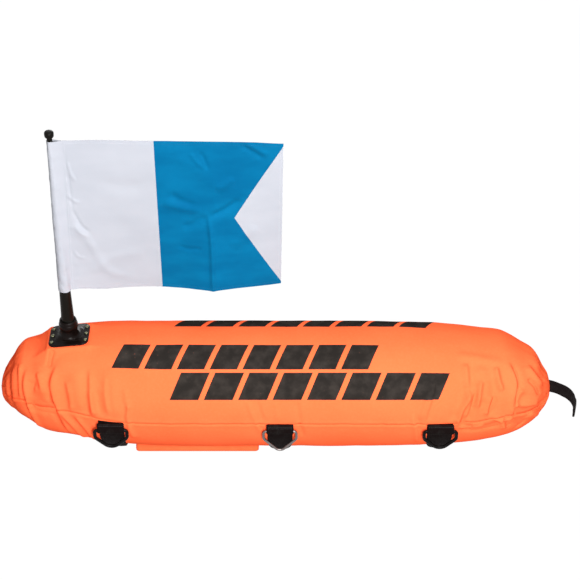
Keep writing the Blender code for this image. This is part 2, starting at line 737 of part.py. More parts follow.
def socket_rivets(material):
    """Six rivets: a domed head on the plate and a shank through cover and backing plate."""
    turns = np.linspace(0.0, 2 * math.pi, RIVET_SIDES, endpoint=False)
    for index, (x, y) in enumerate(rivet_places(), start=1):
        seat = seat_height(x + RIVET_HEAD_RADIUS) + 2 * GAP + PLATE_THICKNESS
        foot = seat_height(x) - LINING_INSET - LINING_WALL
        profile = [(RIVET_RADIUS, foot), (RIVET_RADIUS, seat)]
        profile += [(RIVET_HEAD_RADIUS * out, seat + RIVET_HEAD_HEIGHT * up) for out, up in RIVET_DOME_SHARES]
        rings = [[(x + radius * math.cos(turn), y + radius * math.sin(turn), height) for turn in turns]
                 for radius, height in profile]
        add_mesh(f"socket_rivet_{index}", *loft(rings), material)


def mast_foot():
    return socket_floor() + GAP


def mast_radius_at(height):
    """Radius of the mast at a height above its foot: a straight spigot, then two tapers."""
    return np.interp(height, [MAST_SPIGOT_HEIGHT, MAST_SHOULDER_HEIGHT, MAST_HEIGHT],
                     [MAST_FOOT_RADIUS, MAST_SHOULDER_RADIUS, MAST_NECK_RADIUS])


def mast(material):
    """Tapered pole: a straight spigot in the socket, a quick taper, then a long one."""
    turns = np.linspace(0.0, 2 * math.pi, MAST_SIDES, endpoint=False)
    foot = mast_foot()
    edge = MAST_CLEARANCE * 2
    profile = [(MAST_FOOT_RADIUS - edge, 0.0), (MAST_FOOT_RADIUS, edge)]
    profile += [(mast_radius_at(height), height)
                for height in (MAST_SPIGOT_HEIGHT, MAST_SHOULDER_HEIGHT, MAST_HEIGHT)]
    rings = [[(MAST_X + radius * math.cos(turn), radius * math.sin(turn), foot + height) for turn in turns]
             for radius, height in profile]
    return add_mesh("mast", *loft(rings), material, origin=(MAST_X, 0.0, foot))


def mast_tip(material):
    """Rounded knob pushed onto the mast's neck; it keeps the sleeve from riding off."""
    turns = np.linspace(0.0, 2 * math.pi, MAST_SIDES, endpoint=False)
    top = mast_foot() + MAST_HEIGHT
    low = top - TIP_SEAT
    bore = mast_radius_at(MAST_HEIGHT - TIP_SEAT) + GAP
    profile = [(TIP_RADIUS * radius, low + TIP_HEIGHT * height) for radius, height in TIP_PROFILE_SHARES]
    rings = [[(MAST_X + radius * math.cos(turn), radius * math.sin(turn), height) for turn in turns]
             for radius, height in profile[::-1] + [(bore, low), (bore, top + GAP)]]
    return add_mesh("mast_tip", *loft(rings), material, origin=(MAST_X, 0.0, low))


# Flag

def flag_bottom():
    return mast_foot() + MAST_SHOULDER_HEIGHT


def sleeve_radius(up):
    """Middle of the sleeve's cloth round the mast, at a share of the flag's height."""
    return mast_radius_at(MAST_SHOULDER_HEIGHT + FLAG_HEIGHT * up) + SLEEVE_ROOM + FLAG_CLOTH / 2


def sleeve_stitch(up):
    """Distance of the sleeve's stitches from the mast's axis: close below, slack above."""
    return sleeve_radius(0.0) + FLAG_CLOTH + SLEEVE_FLARE * up


def fly_edge(up):
    """Distance of the fly edge from the mast's axis: the cloth gathers a little below."""
    return sleeve_stitch(1.0) + FLAG_LENGTH - FLY_GATHER * (1.0 - up)


def flag_point(distance, up):
    """A point of the cloth, at a distance from the mast's axis and a share of its height.

    Towards the bottom the cloth swings back in one long wave beside the mast, comes forward
    to a crease and swings back again at the fly. Both free corners sit a little off level.
    """
    distance, up = np.broadcast_arrays(distance, up)
    share = (distance - sleeve_stitch(up)) / (fly_edge(up) - sleeve_stitch(up))
    z = flag_bottom() + FLAG_HEIGHT * up + share * (FLY_GATHER * (1.0 - up) - FLY_DROP * up)
    wave = FOLD_BACK * np.sin(math.pi * np.clip(share / FOLD_SPAN_SHARE, 0.0, 1.0))
    fly = FLY_BACK * np.clip((share - FOLD_SPAN_SHARE) / (1.0 - FOLD_SPAN_SHARE), 0.0, 1.0)
    y = (wave + fly) * (1.0 - up) ** FOLD_FADE_POWER - (FLAG_CLOTH + GAP) / 2
    return np.stack([MAST_X + distance, y, z], axis=-1)


def add_cloth(name, middle, material):
    """Thin cloth to both sides of a grid of points."""
    half = np.array((0.0, FLAG_CLOTH / 2, 0.0))
    origin = (MAST_X, 0.0, flag_bottom())
    solid = sheet_solid(middle - half, middle + half)
    return add_mesh(name, *solid, material, origin=origin, sharp_degrees=60.0)


def notch_edge(up):
    """Where the blue cloth ends: the fly edge, drawn in to the notch's point half way up."""
    half = 0.5 - NOTCH_CORNER / FLAG_HEIGHT
    return fly_edge(up) - NOTCH_DEPTH * np.clip(1.0 - np.abs(up - 0.5) / half, 0.0, 1.0)


def flag_panels(white, blue):
    """Hoist panel, blue panel and fly triangle, edge to edge with a narrow gap."""
    corner = NOTCH_CORNER / FLAG_HEIGHT
    inner = np.linspace(corner, 1.0 - corner, FLAG_ROWS - 1)
    up = np.concatenate([[0.0], inner, [1.0]])[:, None]
    flag_hoist(up, white)
    share = np.linspace(0.0, 1.0, FLAG_BLUE_COLUMNS)[None, :]
    start = HOIST_PANEL_END + GAP
    add_cloth("flag_blue_panel", flag_point(start + (notch_edge(up) - start) * share, up), blue)
    rows = np.linspace(corner + FLY_TIP_SHARE, 1.0 - corner - FLY_TIP_SHARE, FLAG_ROWS - 1)[:, None]
    start = notch_edge(rows) + 2 * GAP
    share = np.linspace(0.0, 1.0, FLAG_FLY_COLUMNS)[None, :]
    add_cloth("flag_fly_panel", flag_point(start + (fly_edge(rows) - start) * share, rows), white)


def flag_hoist(up, material):
    """White panel whose edge turns round the mast as the sleeve and is hemmed behind itself.

    The sleeve is a drop shape: round at the mast, then straight to the stitches.
    """
    share = np.linspace(1.0, 0.0, FLAG_HOIST_COLUMNS)
    middle, offset = [], []
    for row in up[:, 0]:
        stitch, radius = sleeve_stitch(row), sleeve_radius(row)
        front = flag_point(stitch + (HOIST_PANEL_END - stitch) * share, row)
        height = front[-1, 2]
        layer = (FLAG_CLOTH + GAP) / 2
        touch = math.acos(radius / stitch)
        turns = np.linspace(touch, 2 * math.pi - touch, SLEEVE_STEPS)
        level = np.full(SLEEVE_STEPS, height)
        loop = np.stack([MAST_X + radius * np.cos(turns), -radius * np.sin(turns), level], axis=-1)
        hem = np.array([(MAST_X + stitch, layer, height), (MAST_X + stitch + SLEEVE_HEM, layer, height)])
        hem[1, 1] += flag_point(stitch + SLEEVE_HEM, row)[1] + layer
        path = np.concatenate([front, loop, hem])
        along = np.gradient(path[:, :2], axis=0)
        normal = np.stack([along[:, 1], -along[:, 0]], axis=-1)
        normal /= np.linalg.norm(normal, axis=1)[:, None]
        middle.append(path)
        offset.append(np.concatenate([normal * FLAG_CLOTH / 2, np.zeros((len(path), 1))], axis=1))
    middle, offset = np.array(middle), np.array(offset)
    origin = (MAST_X, 0.0, flag_bottom())
    return add_mesh("flag_hoist_panel", *sheet_solid(middle - offset, middle + offset), material,
                    origin=origin, sharp_degrees=60.0)


# Towing tail and closure

def strip_sections(centres, directions, width, walls, twists):
    """Rectangular sections of webbing along a path in the XZ plane, turned by the twists."""
    rings = []
    for centre, along, wall, twist in zip(centres, directions, walls, twists):
        along = Vector((along[0], 0.0, along[1])).normalized()
        normal = Vector((-along.z, 0.0, along.x))
        across = Vector((0.0, 1.0, 0.0))
        turned = across * math.cos(twist) + normal * math.sin(twist)
        face = normal * math.cos(twist) - across * math.sin(twist)
        middle = Vector((centre[0], 0.0, centre[1]))
        rings.append([middle + turned * (sign_w * width / 2) + face * (sign_t * wall / 2)
                      for sign_w, sign_t in ((-1, -1), (1, -1), (1, 1), (-1, 1))])
    return rings


def tow_strap(material):
    """Webbing tail sewn in at the right tip: level through the seam, then drooping to its hem."""
    height = seam_height(RIGHT_TIP)
    start = RIGHT_TIP + TOW_WALL
    centres = [(RIGHT_TIP - TOW_TAIL_INSIDE, height), (start, height)]
    centres += [(start + TOW_REACH * out, height - TOW_FALL * down) for out, down in TOW_ROUTE_SHARES]
    directions = []
    for index in range(len(centres)):
        before, after = centres[max(index - 1, 0)], centres[min(index + 1, len(centres) - 1)]
        directions.append((after[0] - before[0], after[1] - before[1]))
    directions[1] = directions[0]
    lengths = np.cumsum([0.0] + [math.dist(a, b) for a, b in zip(centres, centres[1:])])
    free = np.clip((lengths - lengths[1]) / (lengths[-1] - lengths[1]), 0.0, 1.0)
    twists = TOW_TWIST * free
    walls = [TOW_HEM_WALL if lengths[-1] - length < TOW_HEM else TOW_WALL for length in lengths]
    sections = strip_sections(centres, directions, TOW_WIDTH, walls, twists)
    return add_mesh("tow_strap", *loft(sections), material)


def box_solid(low, high):
    rings = [[(low[0], low[1], z), (high[0], low[1], z), (high[0], high[1], z), (low[0], high[1], z)]
             for z in (low[2], high[2])]
    return loft(rings)


def tow_slot():
    """Room for the tail where it passes out between the two cover panels."""
    height = seam_height(RIGHT_TIP)
    half_width, half_wall = TOW_WIDTH / 2 + GAP, TOW_WALL / 2 + GAP
    return add_cutter("tow_slot_cutter", [box_solid(
        (RIGHT_TIP - CUT_OVERRUN * 3, -half_width, height - half_wall),
        (RIGHT_TIP + CUT_OVERRUN, half_width, height + half_wall))])


def closure_strip(name, level, material):
    """One of the two fastening strips inside the right end, below the tail."""
    top = seam_height(RIGHT_TIP) - TOW_WALL / 2 - GAP - level * (CLOSURE_WALL + GAP)
    end = RIGHT_TIP - CLOSURE_FROM_TIP
    half = CLOSURE_LENGTH / 2
    strip = box_solid((end - CLOSURE_WIDTH, -half, top - CLOSURE_WALL), (end, half, top))
    return add_mesh(name, *strip, material)


# Inflation valve

def valve_frame():
    """Foot, outward direction and the two tangents of the valve on the body's surface."""
    x = RIGHT_TIP - VALVE_FROM_RIGHT_END
    angle = math.radians(VALVE_ANGLE_DEGREES)
    foot = Vector(on_body(x, angle, 0.0))
    ahead = Vector(on_body(x + GAP, angle, 0.0)) - foot
    round_body = Vector(on_body(x, angle + GAP, 0.0)) - foot
    first, second = ahead.normalized(), round_body.normalized()
    outward = second.cross(first).normalized()
    if outward.y < 0:
        outward = -outward
    return foot, outward, first, second


def valve_ring(radius, height, sides=VALVE_SIDES):
    """Level ring about the valve's axis, at a height above the body's surface."""
    foot, outward, first, second = valve_frame()
    return [foot + outward * height + (first * math.cos(turn) + second * math.sin(turn)) * radius
            for turn in np.linspace(0.0, 2 * math.pi, sides, endpoint=False)]


def laid_ring(radius, inset, sides=VALVE_SIDES):
    """Ring about the valve's foot that lies on a skin of the body."""
    foot, _, first, _ = valve_frame()
    angle = math.radians(VALVE_ANGLE_DEGREES)
    reach = body_radius(foot.x, 0.0)
    ring = []
    for turn in np.linspace(0.0, 2 * math.pi, sides, endpoint=False):
        x = foot.x + radius * math.cos(turn) * first.x
        ring.append(Vector(on_body(x, angle + radius * math.sin(turn) / reach, inset)))
    return ring


def valve_hole(name, radius):
    foot, outward, _, _ = valve_frame()
    start = foot - outward * (BLADDER_INSET + BLADDER_WALL + CUT_OVERRUN)
    length = BLADDER_INSET + BLADDER_WALL + 3 * CUT_OVERRUN
    return add_cutter(name, [rod_points(start, outward, radius, length, VALVE_SIDES)])


def valve_body(material):
    """Valve: a flange on the bladder and a tube that comes out through the eyelet."""
    flange_low, flange_high = LINING_INSET + LINING_WALL, LINING_INSET
    rings = [laid_ring(VALVE_BORE_RADIUS, flange_low), laid_ring(VALVE_FLANGE_RADIUS * FLANGE_MIDDLE_SHARE, flange_low),
             laid_ring(VALVE_FLANGE_RADIUS, flange_low), laid_ring(VALVE_FLANGE_RADIUS, flange_high),
             laid_ring(VALVE_TUBE_RADIUS, flange_high), valve_ring(VALVE_TUBE_RADIUS, VALVE_STANDOFF),
             valve_ring(VALVE_BORE_RADIUS, VALVE_STANDOFF)]
    return add_mesh("valve_body", *loft(rings, close_loop=True), material)


def valve_plug(material):
    """Stopper: a shank in the valve's bore under a wide, slightly domed head."""
    shank = VALVE_BORE_RADIUS - PLUG_CLEARANCE
    seat = VALVE_STANDOFF + GAP
    rings = [valve_ring(shank * PLUG_LEAD_SHARE, seat - PLUG_DEPTH),
             valve_ring(shank, seat - PLUG_DEPTH * PLUG_LEAD_SHARE),
             valve_ring(shank, seat), valve_ring(PLUG_HEAD_RADIUS, seat),
             valve_ring(PLUG_HEAD_RADIUS, seat + PLUG_HEAD_HEIGHT * PLUG_EDGE_SHARE),
             valve_ring(PLUG_HEAD_RADIUS * PLUG_CROWN_SHARE, seat + PLUG_HEAD_HEIGHT)]
    foot, outward, _, _ = valve_frame()
    return add_mesh("valve_plug", *loft(rings), material, origin=foot + outward * seat)


def valve_eyelet(material):
    """Metal eyelet that lines the valve's hole in the cover."""
    inner, outer = EYELET_HOLE_RADIUS, EYELET_HOLE_RADIUS + EYELET_WIDTH
    low, high = -GAP, -GAP - EYELET_WALL
    middle = (inner + outer) / 2
    rings = [laid_ring(inner, low), laid_ring(middle, low), laid_ring(outer, low),
             laid_ring(outer, (low + high) / 2), laid_ring(middle, high), laid_ring(inner, (low + high) / 2)]
    return add_mesh("valve_eyelet", *loft(rings, close_loop=True), material)


def build():
    clear_scene()
    fabric = make_material("orange_cover", ORANGE, 0.62)
    webbing = make_material("black_webbing", BLACK_WEBBING, 0.85)
    plastic = make_material("black_plastic", BLACK_PLASTIC, 0.35)
    steel = make_material("steel", STEEL, 0.28, 1.0)
    white = make_material("white_cloth", WHITE_CLOTH, 0.8)
    blue = make_material("blue_cloth", BLUE_CLOTH, 0.8)
    vinyl = make_material("grey_vinyl", VINYL, 0.5)
    lead = make_material("coated_weight", LEAD, 0.55)

    rivet_holes = rivet_cutter("rivet_hole_cutter", RIVET_RADIUS + GAP)
    cover_hole = valve_hole("cover_hole_cutter", EYELET_HOLE_RADIUS)
    bladder_hole = valve_hole("bladder_hole_cutter", VALVE_BORE_RADIUS)
    slot = tow_slot()

    upper = half_cover("cover_upper", 0.0, 180.0, GAP / 2, fabric)
    for cutter in (rivet_holes, cover_hole, slot):
        cut(upper, cutter)
    lower = half_cover("cover_lower", 0.0, -180.0, -GAP / 2, fabric)
    cut(lower, slot)
    seam_tape("seam_tape_near", 0.0, webbing)
    seam_tape("seam_tape_far", 180.0, webbing)
    bladder(vinyl, bladder_hole)

    steel_path = ring_path(STEEL_RING_WIDTH - STEEL_WIRE, STEEL_RING_DROP, STEEL_SIDE_DROP,
                           STEEL_CORNER_RADIUS, STEEL_TIP_RADIUS)
    plastic_path = ring_path(PLASTIC_RING_WIDTH - PLASTIC_FACE, PLASTIC_RING_DROP, PLASTIC_SIDE_DROP,
                             PLASTIC_CORNER_RADIUS, PLASTIC_TIP_RADIUS)
    for place, strap_x in (("left", LEFT_STRAP_X), ("middle", MIDDLE_STRAP_X), ("right", RIGHT_STRAP_X)):
        girth_strap("girth_strap_" + place, strap_x, webbing)
        middle = place == "middle"
        face = STEEL_WIRE if middle else PLASTIC_FACE
        depth = STEEL_WIRE if middle else PLASTIC_DEPTH
        for side_name, side in (("near", -1), ("far", 1)):
            bar = bar_place(strap_x, side, face / 2)
            ring_keeper(f"ring_keeper_{place}_{side_name}", bar, side, face / 2, webbing)
            swing_ring(f"ring_{place}_{side_name}", bar, steel_path if middle else plastic_path,
                       face, depth, steel if middle else plastic)

    ballast_pocket(fabric)
    ballast_weight(lead)
    mast_socket(plastic, rivet_holes)
    backing_plate(plastic, rivet_holes)
    socket_rivets(steel)
    mast(plastic)
    mast_tip(plastic)
    flag_panels(white, blue)
    tow_strap(webbing)
    closure_strip("closure_hook_strip", 0, webbing)
    closure_strip("closure_loop_strip", 1, webbing)
    valve_body(vinyl)
    valve_plug(vinyl)
    valve_eyelet(steel)


build()
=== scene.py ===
"""Looks of the dive flag float, dressed over its CAD frame. All lengths are metres.

The body lies along X. A place on its cover is (s, a): s runs from the left tip, and the
angle a, in degrees, starts at the near seam, passes over the top at 90 and reaches the far
seam at 180. Below the seams a is negative.
"""

import math

import bmesh
import bpy
import numpy as np
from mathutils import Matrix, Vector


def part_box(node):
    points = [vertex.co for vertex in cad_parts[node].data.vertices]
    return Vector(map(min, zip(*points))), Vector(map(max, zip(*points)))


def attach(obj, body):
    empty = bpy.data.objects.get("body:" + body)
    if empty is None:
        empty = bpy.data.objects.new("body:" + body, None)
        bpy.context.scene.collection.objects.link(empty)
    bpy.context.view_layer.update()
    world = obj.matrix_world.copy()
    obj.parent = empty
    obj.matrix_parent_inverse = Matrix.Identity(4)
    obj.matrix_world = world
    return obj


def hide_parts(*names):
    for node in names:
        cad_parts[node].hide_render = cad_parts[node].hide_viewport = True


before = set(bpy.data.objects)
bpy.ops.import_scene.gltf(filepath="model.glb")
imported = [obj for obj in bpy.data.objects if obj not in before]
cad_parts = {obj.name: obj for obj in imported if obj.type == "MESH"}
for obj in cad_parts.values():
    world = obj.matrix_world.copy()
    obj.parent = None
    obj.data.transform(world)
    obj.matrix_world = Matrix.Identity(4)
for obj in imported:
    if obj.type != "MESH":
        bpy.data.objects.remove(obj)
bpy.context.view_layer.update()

MM = 0.001
GAP = 0.0003
LEFT_TIP = -0.44428
BODY_LENGTH, BODY_RADIUS, AXIS_HEIGHT = 0.838, 0.0955, 0.097
LEFT_END_LENGTH, RIGHT_END_LENGTH = 0.215, 0.230
COVER_DEPTH, BLADDER_SLACK, BLADDER_END = 0.0024, 0.006, 0.796
STRAP_X = {"left": -0.27048, "middle": -0.01878, "right": 0.21992}
STRAP_BOTTOM = 0.0022
WEBBING_WIDTH, WEBBING_WALL = 0.038, 0.0018
KEEPER_WALL, KEEPER_TOP, BAR_CLEARANCE = 0.0016, 0.0110, 0.00035
POCKET_X = -0.14683
POCKET_LENGTH, POCKET_WIDTH, POCKET_DEPTH, POCKET_LEAD = 0.1895, 0.098, 0.0122, 0.008
MAST_X = -0.33428
PLATE_LENGTH, PLATE_WIDTH, PLATE_CORNER, PLATE_WALL = 0.060, 0.050, 0.009, 0.0028
PLATE_SLOPE = math.tan(math.radians(6.0))
SEAT_EDGE = 0.006
PLATE_LOW_END = 0.0293
SEAT_AT_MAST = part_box("mast_socket")[0][2] + PLATE_LOW_END * PLATE_SLOPE - GAP
VALVE_S, VALVE_ANGLE, VALVE_REACH = 0.723, 163.0, 0.088


# Mesh helpers

def run_along(path):
    """Length of a line of points up to each of them."""
    return np.concatenate([[0.0], np.cumsum(np.linalg.norm(np.diff(path, axis=0), axis=1))])


def stacked(*parts):
    """Arrays and numbers, brought to one shape, as the last axis of one array."""
    return np.stack(np.broadcast_arrays(*parts), axis=-1)


def at_lengths(line, at):
    """Points of a line at the given lengths from its start."""
    run = run_along(line)
    return stacked(*(np.interp(at, run, column) for column in line.T))


def curve_through(points, count):
    """Smooth curve through points: cubic Hermite pieces by chord length, slopes from the neighbours."""
    points = np.asarray(points, float)
    at = run_along(points)
    slope = np.gradient(points, at, axis=0)
    place = np.linspace(0.0, at[-1], count)
    index = np.clip(np.searchsorted(at, place, side="right") - 1, 0, len(at) - 2)
    run = (at[index + 1] - at[index])[:, None]
    u = (place - at[index])[:, None] / run
    return ((2 * u**3 - 3 * u**2 + 1) * points[index] + (u**3 - 2 * u**2 + u) * run * slope[index]
            + (3 * u**2 - 2 * u**3) * points[index + 1] + (u**3 - u**2) * run * slope[index + 1])


def nearest(line, x, y, y_scale=1.0):
    """Distance to a line of points, the same signed by its side along x, and the place along it, 0 to 1."""
    best, signed, at = np.full(x.shape, 1e9), np.zeros(x.shape), np.zeros(x.shape)
    for index in range(len(line) - 1):
        (x0, y0), (x1, y1) = line[index], line[index + 1]
        run_x, run_y = x1 - x0, (y1 - y0) * y_scale
        off_x, off_y = x - x0, (y - y0) * y_scale
        share = np.clip((off_x * run_x + off_y * run_y) / (run_x ** 2 + run_y ** 2 + 1e-9), 0.0, 1.0)
        gap_x, gap_y = off_x - share * run_x, off_y - share * run_y
        gap = np.hypot(gap_x, gap_y)
        closer = gap < best
        best = np.where(closer, gap, best)
        signed = np.where(closer, np.sign(gap_x) * gap, signed)
        at = np.where(closer, (index + share) / (len(line) - 1), at)
    return best, signed, at


def smooth(value):
    """3v^2 - 2v^3 between 0 and 1."""
    share = np.clip(value, 0.0, 1.0)
    return share * share * (3.0 - 2.0 * share)


def higher(one, other, blend):
    """The greater of two heights, rounded off where they cross."""
    return other + 0.5 * (one - other + np.sqrt((one - other) ** 2 + blend ** 2))


def unit(vectors):
    return vectors / np.maximum(np.linalg.norm(vectors, axis=-1, keepdims=True), 1e-12)


def quads(rows, columns, close_rows=False, close_columns=False, start=0):
    """Quads between neighbouring points of a grid, as an array; a closed direction wraps round."""
    row = np.arange(rows if close_rows else rows - 1)[:, None]
    column = np.arange(columns if close_columns else columns - 1)[None, :]
    here, there = row * columns, (row + 1) % rows * columns
    right = (column + 1) % columns
    corners = (here + column, here + right, there + right, there + column)
    return start + np.stack(corners, axis=-1).reshape(-1, 4)


def make_piece(name, finish, slot, points, faces, uv=None, node=None, sharp=None, body="float_body"):
    """A mesh from arrays, merged at its poles and turned outwards, riding on a body.

    uv holds one (u, v) in metres for each point before the merge; node is the CAD piece it stands for.
    """
    points = np.asarray(points, float).reshape(-1, 3)
    mesh = bpy.data.meshes.new(name)
    mesh.from_pydata(points.tolist(), [], [list(map(int, face)) for face in faces])
    if uv is not None:
        layer = mesh.uv_layers.new(name="cloth")
        corner = np.empty(len(mesh.loops), dtype=np.int32)
        mesh.loops.foreach_get("vertex_index", corner)
        layer.data.foreach_set("uv", np.asarray(uv, dtype=np.float32).reshape(-1, 2)[corner].ravel())
    model = bmesh.new()
    model.from_mesh(mesh)
    bmesh.ops.remove_doubles(model, verts=model.verts, dist=2e-6)
    bmesh.ops.dissolve_degenerate(model, edges=model.edges, dist=1e-6)
    bmesh.ops.recalc_face_normals(model, faces=model.faces)
    model.to_mesh(mesh)
    model.free()
    mesh.shade_smooth()
    if sharp:
        mesh.set_sharp_from_angle(angle=math.radians(sharp))
    mesh.materials.append(finish)
    item = bpy.data.objects.new(name, mesh)
    bpy.context.collection.objects.link(item)
    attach(item, body)
    if node:
        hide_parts(node)
    return item


def tube(rings, close_rows=False):
    """Solid through equal closed rings (rows, sides, 3): capped, or closed on itself."""
    rows, sides = rings.shape[:2]
    faces = quads(rows, sides, close_rows, True).tolist()
    if not close_rows:
        faces += [list(range(sides)), list(range((rows - 1) * sides, rows * sides))]
    return faces


def turned(profile, centre, axis, sides):
    """Rings of a lathe shape: radius and height pairs turned round an axis from its foot."""
    axis = unit(np.asarray(axis, float))
    first = unit(np.cross(axis, (0.3, 1.0, 0.2)))
    second = np.cross(axis, first)
    turn = np.linspace(0.0, 2 * np.pi, sides, endpoint=False)[None, :, None]
    profile = np.asarray(profile, float)
    radius, height = profile[:, 0][:, None, None], profile[:, 1][:, None, None]
    return np.asarray(centre) + axis * height + radius * (first * np.cos(turn) + second * np.sin(turn))


def lathe(name, finish, slot, node, profile, centre, axis, sides, sharp=None, closed=False,
          body="float_body"):
    """A piece turned round an axis; a closed profile makes a ring."""
    points = turned(profile, centre, axis, sides)
    make_piece(name, finish, slot, points, tube(points, closed), None, node, sharp, body)


def rounded_outline(length, width, corner, count):
    """count points evenly round a rounded rectangle centred on zero."""
    sides = []
    for quarter, (sign_x, sign_y) in enumerate(((1, 1), (-1, 1), (-1, -1), (1, -1))):
        turn = np.radians(90.0 * quarter + np.linspace(0.0, 90.0, 9))
        sides.append(stacked(sign_x * (length / 2 - corner) + corner * np.cos(turn),
                             sign_y * (width / 2 - corner) + corner * np.sin(turn)))
    loop = np.concatenate(sides + [sides[0][:1]])
    return at_lengths(loop, np.linspace(0.0, run_along(loop)[-1], count, endpoint=False))


# Section of webbing with rounded edges: shares of its half width and of its wall.
SIDE = np.array([-1, -.97, -.9, -.5, 0, .5, .9, .97, 1, .97, .9, .5, 0, -.5, -.9, -.97])
UP = np.array([0, .36, .5, .5, .5, .5, .5, .36, 0, -.36, -.5, -.5, -.5, -.5, -.5, -.36])


def band(path, across, width, wall):
    """Strap along a path: the webbing's section, its width along across and its wall along the normal.

    Returns points, faces and uv, u along the strap and v across it, in metres.
    """
    across = np.broadcast_to(unit(np.asarray(across, float)), path.shape)
    normal = unit(np.cross(unit(np.gradient(path, axis=0)), across))
    side, walls = SIDE * width / 2, np.broadcast_to(wall, len(path))
    points = (path[:, None, :] + across[:, None, :] * side[None, :, None]
              + normal[:, None, :] * (walls[:, None] * UP)[:, :, None])
    return points, tube(points), stacked(run_along(path)[:, None], side)


def sew(name, finish, slot, points, normals, along, length, radius, body="float_body"):
    """Short round-topped stitches, one at each point: six-sided beads that lie along the seam."""
    along, normals = np.broadcast_to(along, points.shape), np.broadcast_to(normals, points.shape)
    across = unit(np.cross(along, normals))
    share, fat = np.array([-.5, -.38, .38, .5]), np.array([.35, 1.0, 1.0, .35])
    turn = np.linspace(0.0, 2 * np.pi, 6, endpoint=False)
    ring = (across[:, None, None, :] * np.cos(turn)[None, None, :, None]
            + normals[:, None, None, :] * np.sin(turn)[None, None, :, None]) * radius
    beads = points[:, None, None, :] + along[:, None, None, :] * (share * length)[None, :, None, None]
    beads = beads + ring * fat[None, :, None, None]
    bead = tube(beads[0])
    faces = [[24 * index + corner for corner in face] for index in range(len(points)) for face in bead]
    make_piece(name, finish, slot, beads, faces, body=body)


def value_noise(x, y, seed, size=97):
    """Smooth random field: values on a wrapped lattice, joined by cubic steps, from -1 to 1."""
    table = np.random.default_rng(seed).uniform(-1.0, 1.0, (size, size))
    x0, y0 = np.floor(x).astype(int), np.floor(y).astype(int)
    u, v = smooth(x - x0), smooth(y - y0)
    a, b = table[x0 % size, y0 % size], table[(x0 + 1) % size, y0 % size]
    c, d = table[x0 % size, (y0 + 1) % size], table[(x0 + 1) % size, (y0 + 1) % size]
    return (a * (1 - u) + b * u) * (1 - v) + (c * (1 - u) + d * u) * v


# Shader maths

class Value:
    """A socket in a finish; arithmetic on it adds the Math nodes."""

    def __init__(self, finish, socket):
        self.finish, self.socket = finish, socket

    def math(self, operation, *others):
        values = dict(enumerate((self,) + others))
        return self.finish.node("ShaderNodeMath", {"operation": operation}, values)

    def __add__(self, other):
        return self.math("ADD", other)

    def __sub__(self, other):
        return self.math("SUBTRACT", other)

    def __mul__(self, other):
        return self.math("MULTIPLY", other)

    def __truediv__(self, other):
        return self.math("DIVIDE", other)

    def __rsub__(self, other):
        return self.finish.node("ShaderNodeMath", {"operation": "SUBTRACT"}, {0: other, 1: self})

    __radd__, __rmul__ = __add__, __mul__

    def step(self, low, high):
        """0 below low, 1 above high, smooth between them; low above high turns it round."""
        rising = {"interpolation_type": "SMOOTHSTEP"}
        ends = {"From Min": min(low, high), "From Max": max(low, high), "Value": self}
        if low > high:
            ends.update({"To Min": 1.0, "To Max": 0.0})
        return self.finish.node("ShaderNodeMapRange", rising, ends)


class Finish:
    """One material: a Principled shader whose constants sit on its own sockets."""

    def __init__(self, name, colour, roughness, **sockets):
        self.material = bpy.data.materials.new(name)
        self.material.use_nodes = True
        self.tree = self.material.node_tree
        self.shader = self.tree.nodes["Principled BSDF"]
        self.set("Base Color", (*colour, 1.0))
        self.set("Roughness", roughness)
        for key, value in sockets.items():
            self.set(key.replace("_", " "), value)
        self.material.diffuse_color = (*colour, 1.0)

    def set(self, socket, value):
        if isinstance(value, Value):
            self.tree.links.new(value.socket, self.shader.inputs[socket])
        else:
            self.shader.inputs[socket].default_value = value

    def node(self, kind, settings=None, values=None, out=0):
        node = self.tree.nodes.new(kind)
        for key, value in (settings or {}).items():
            setattr(node, key, value)
        for key, value in (values or {}).items():
            if isinstance(value, Value):
                self.tree.links.new(value.socket, node.inputs[key])
            else:
                node.inputs[key].default_value = value
        return Value(self, node.outputs[out])

    def place(self):
        return self.node("ShaderNodeTexCoord", out="Object")

    def cloth(self):
        """The piece's own u and v in metres, as a vector and as two values."""
        place = self.node("ShaderNodeUVMap", {"uv_map": "cloth"})
        parts = self.node("ShaderNodeSeparateXYZ", None, {0: place})
        return place, parts, Value(self, parts.socket.node.outputs[1])

    def noise(self, place, scale, detail=3.0, roughness=0.5):
        return self.node("ShaderNodeTexNoise", None, {"Vector": place, "Scale": scale, "Detail": detail,
                                                      "Roughness": roughness})

    def stretch(self, place, scale):
        return self.node("ShaderNodeMapping", None, {"Vector": place, "Scale": scale})

    def mix(self, share, first, second):
        """Colour between two colours; sockets 6 and 7 are the colour ones."""
        first = first if isinstance(first, Value) else (*first, 1.0)
        second = second if isinstance(second, Value) else (*second, 1.0)
        return self.node("ShaderNodeMix", {"data_type": "RGBA"}, {0: share, 6: first, 7: second}, out=2)

    def bump(self, height, distance, strength):
        self.set("Normal", self.node("ShaderNodeBump", None, {"Height": height, "Distance": distance,
                                                              "Strength": strength}))

    def wave(self, value, pitch):
        """0 to 1 and back once in each pitch."""
        return (value * (2 * math.pi / pitch)).math("SINE") * 0.5 + 0.5


def weave(finish, u, v, pitch):
    """Plain weave: warp and weft bumps that swap over each other in a checker."""
    warp, weft = finish.wave(u, pitch * 2), finish.wave(v, pitch * 2)
    return warp * weft + (1 - warp) * (1 - weft)


# Colour of the cover's painted glow: an emission that lights the cloth though it is no lamp, standing in for
# the fluorescent dye's extra red.
PAINTED_GLOW = (1.0, 0.02, 0.0)


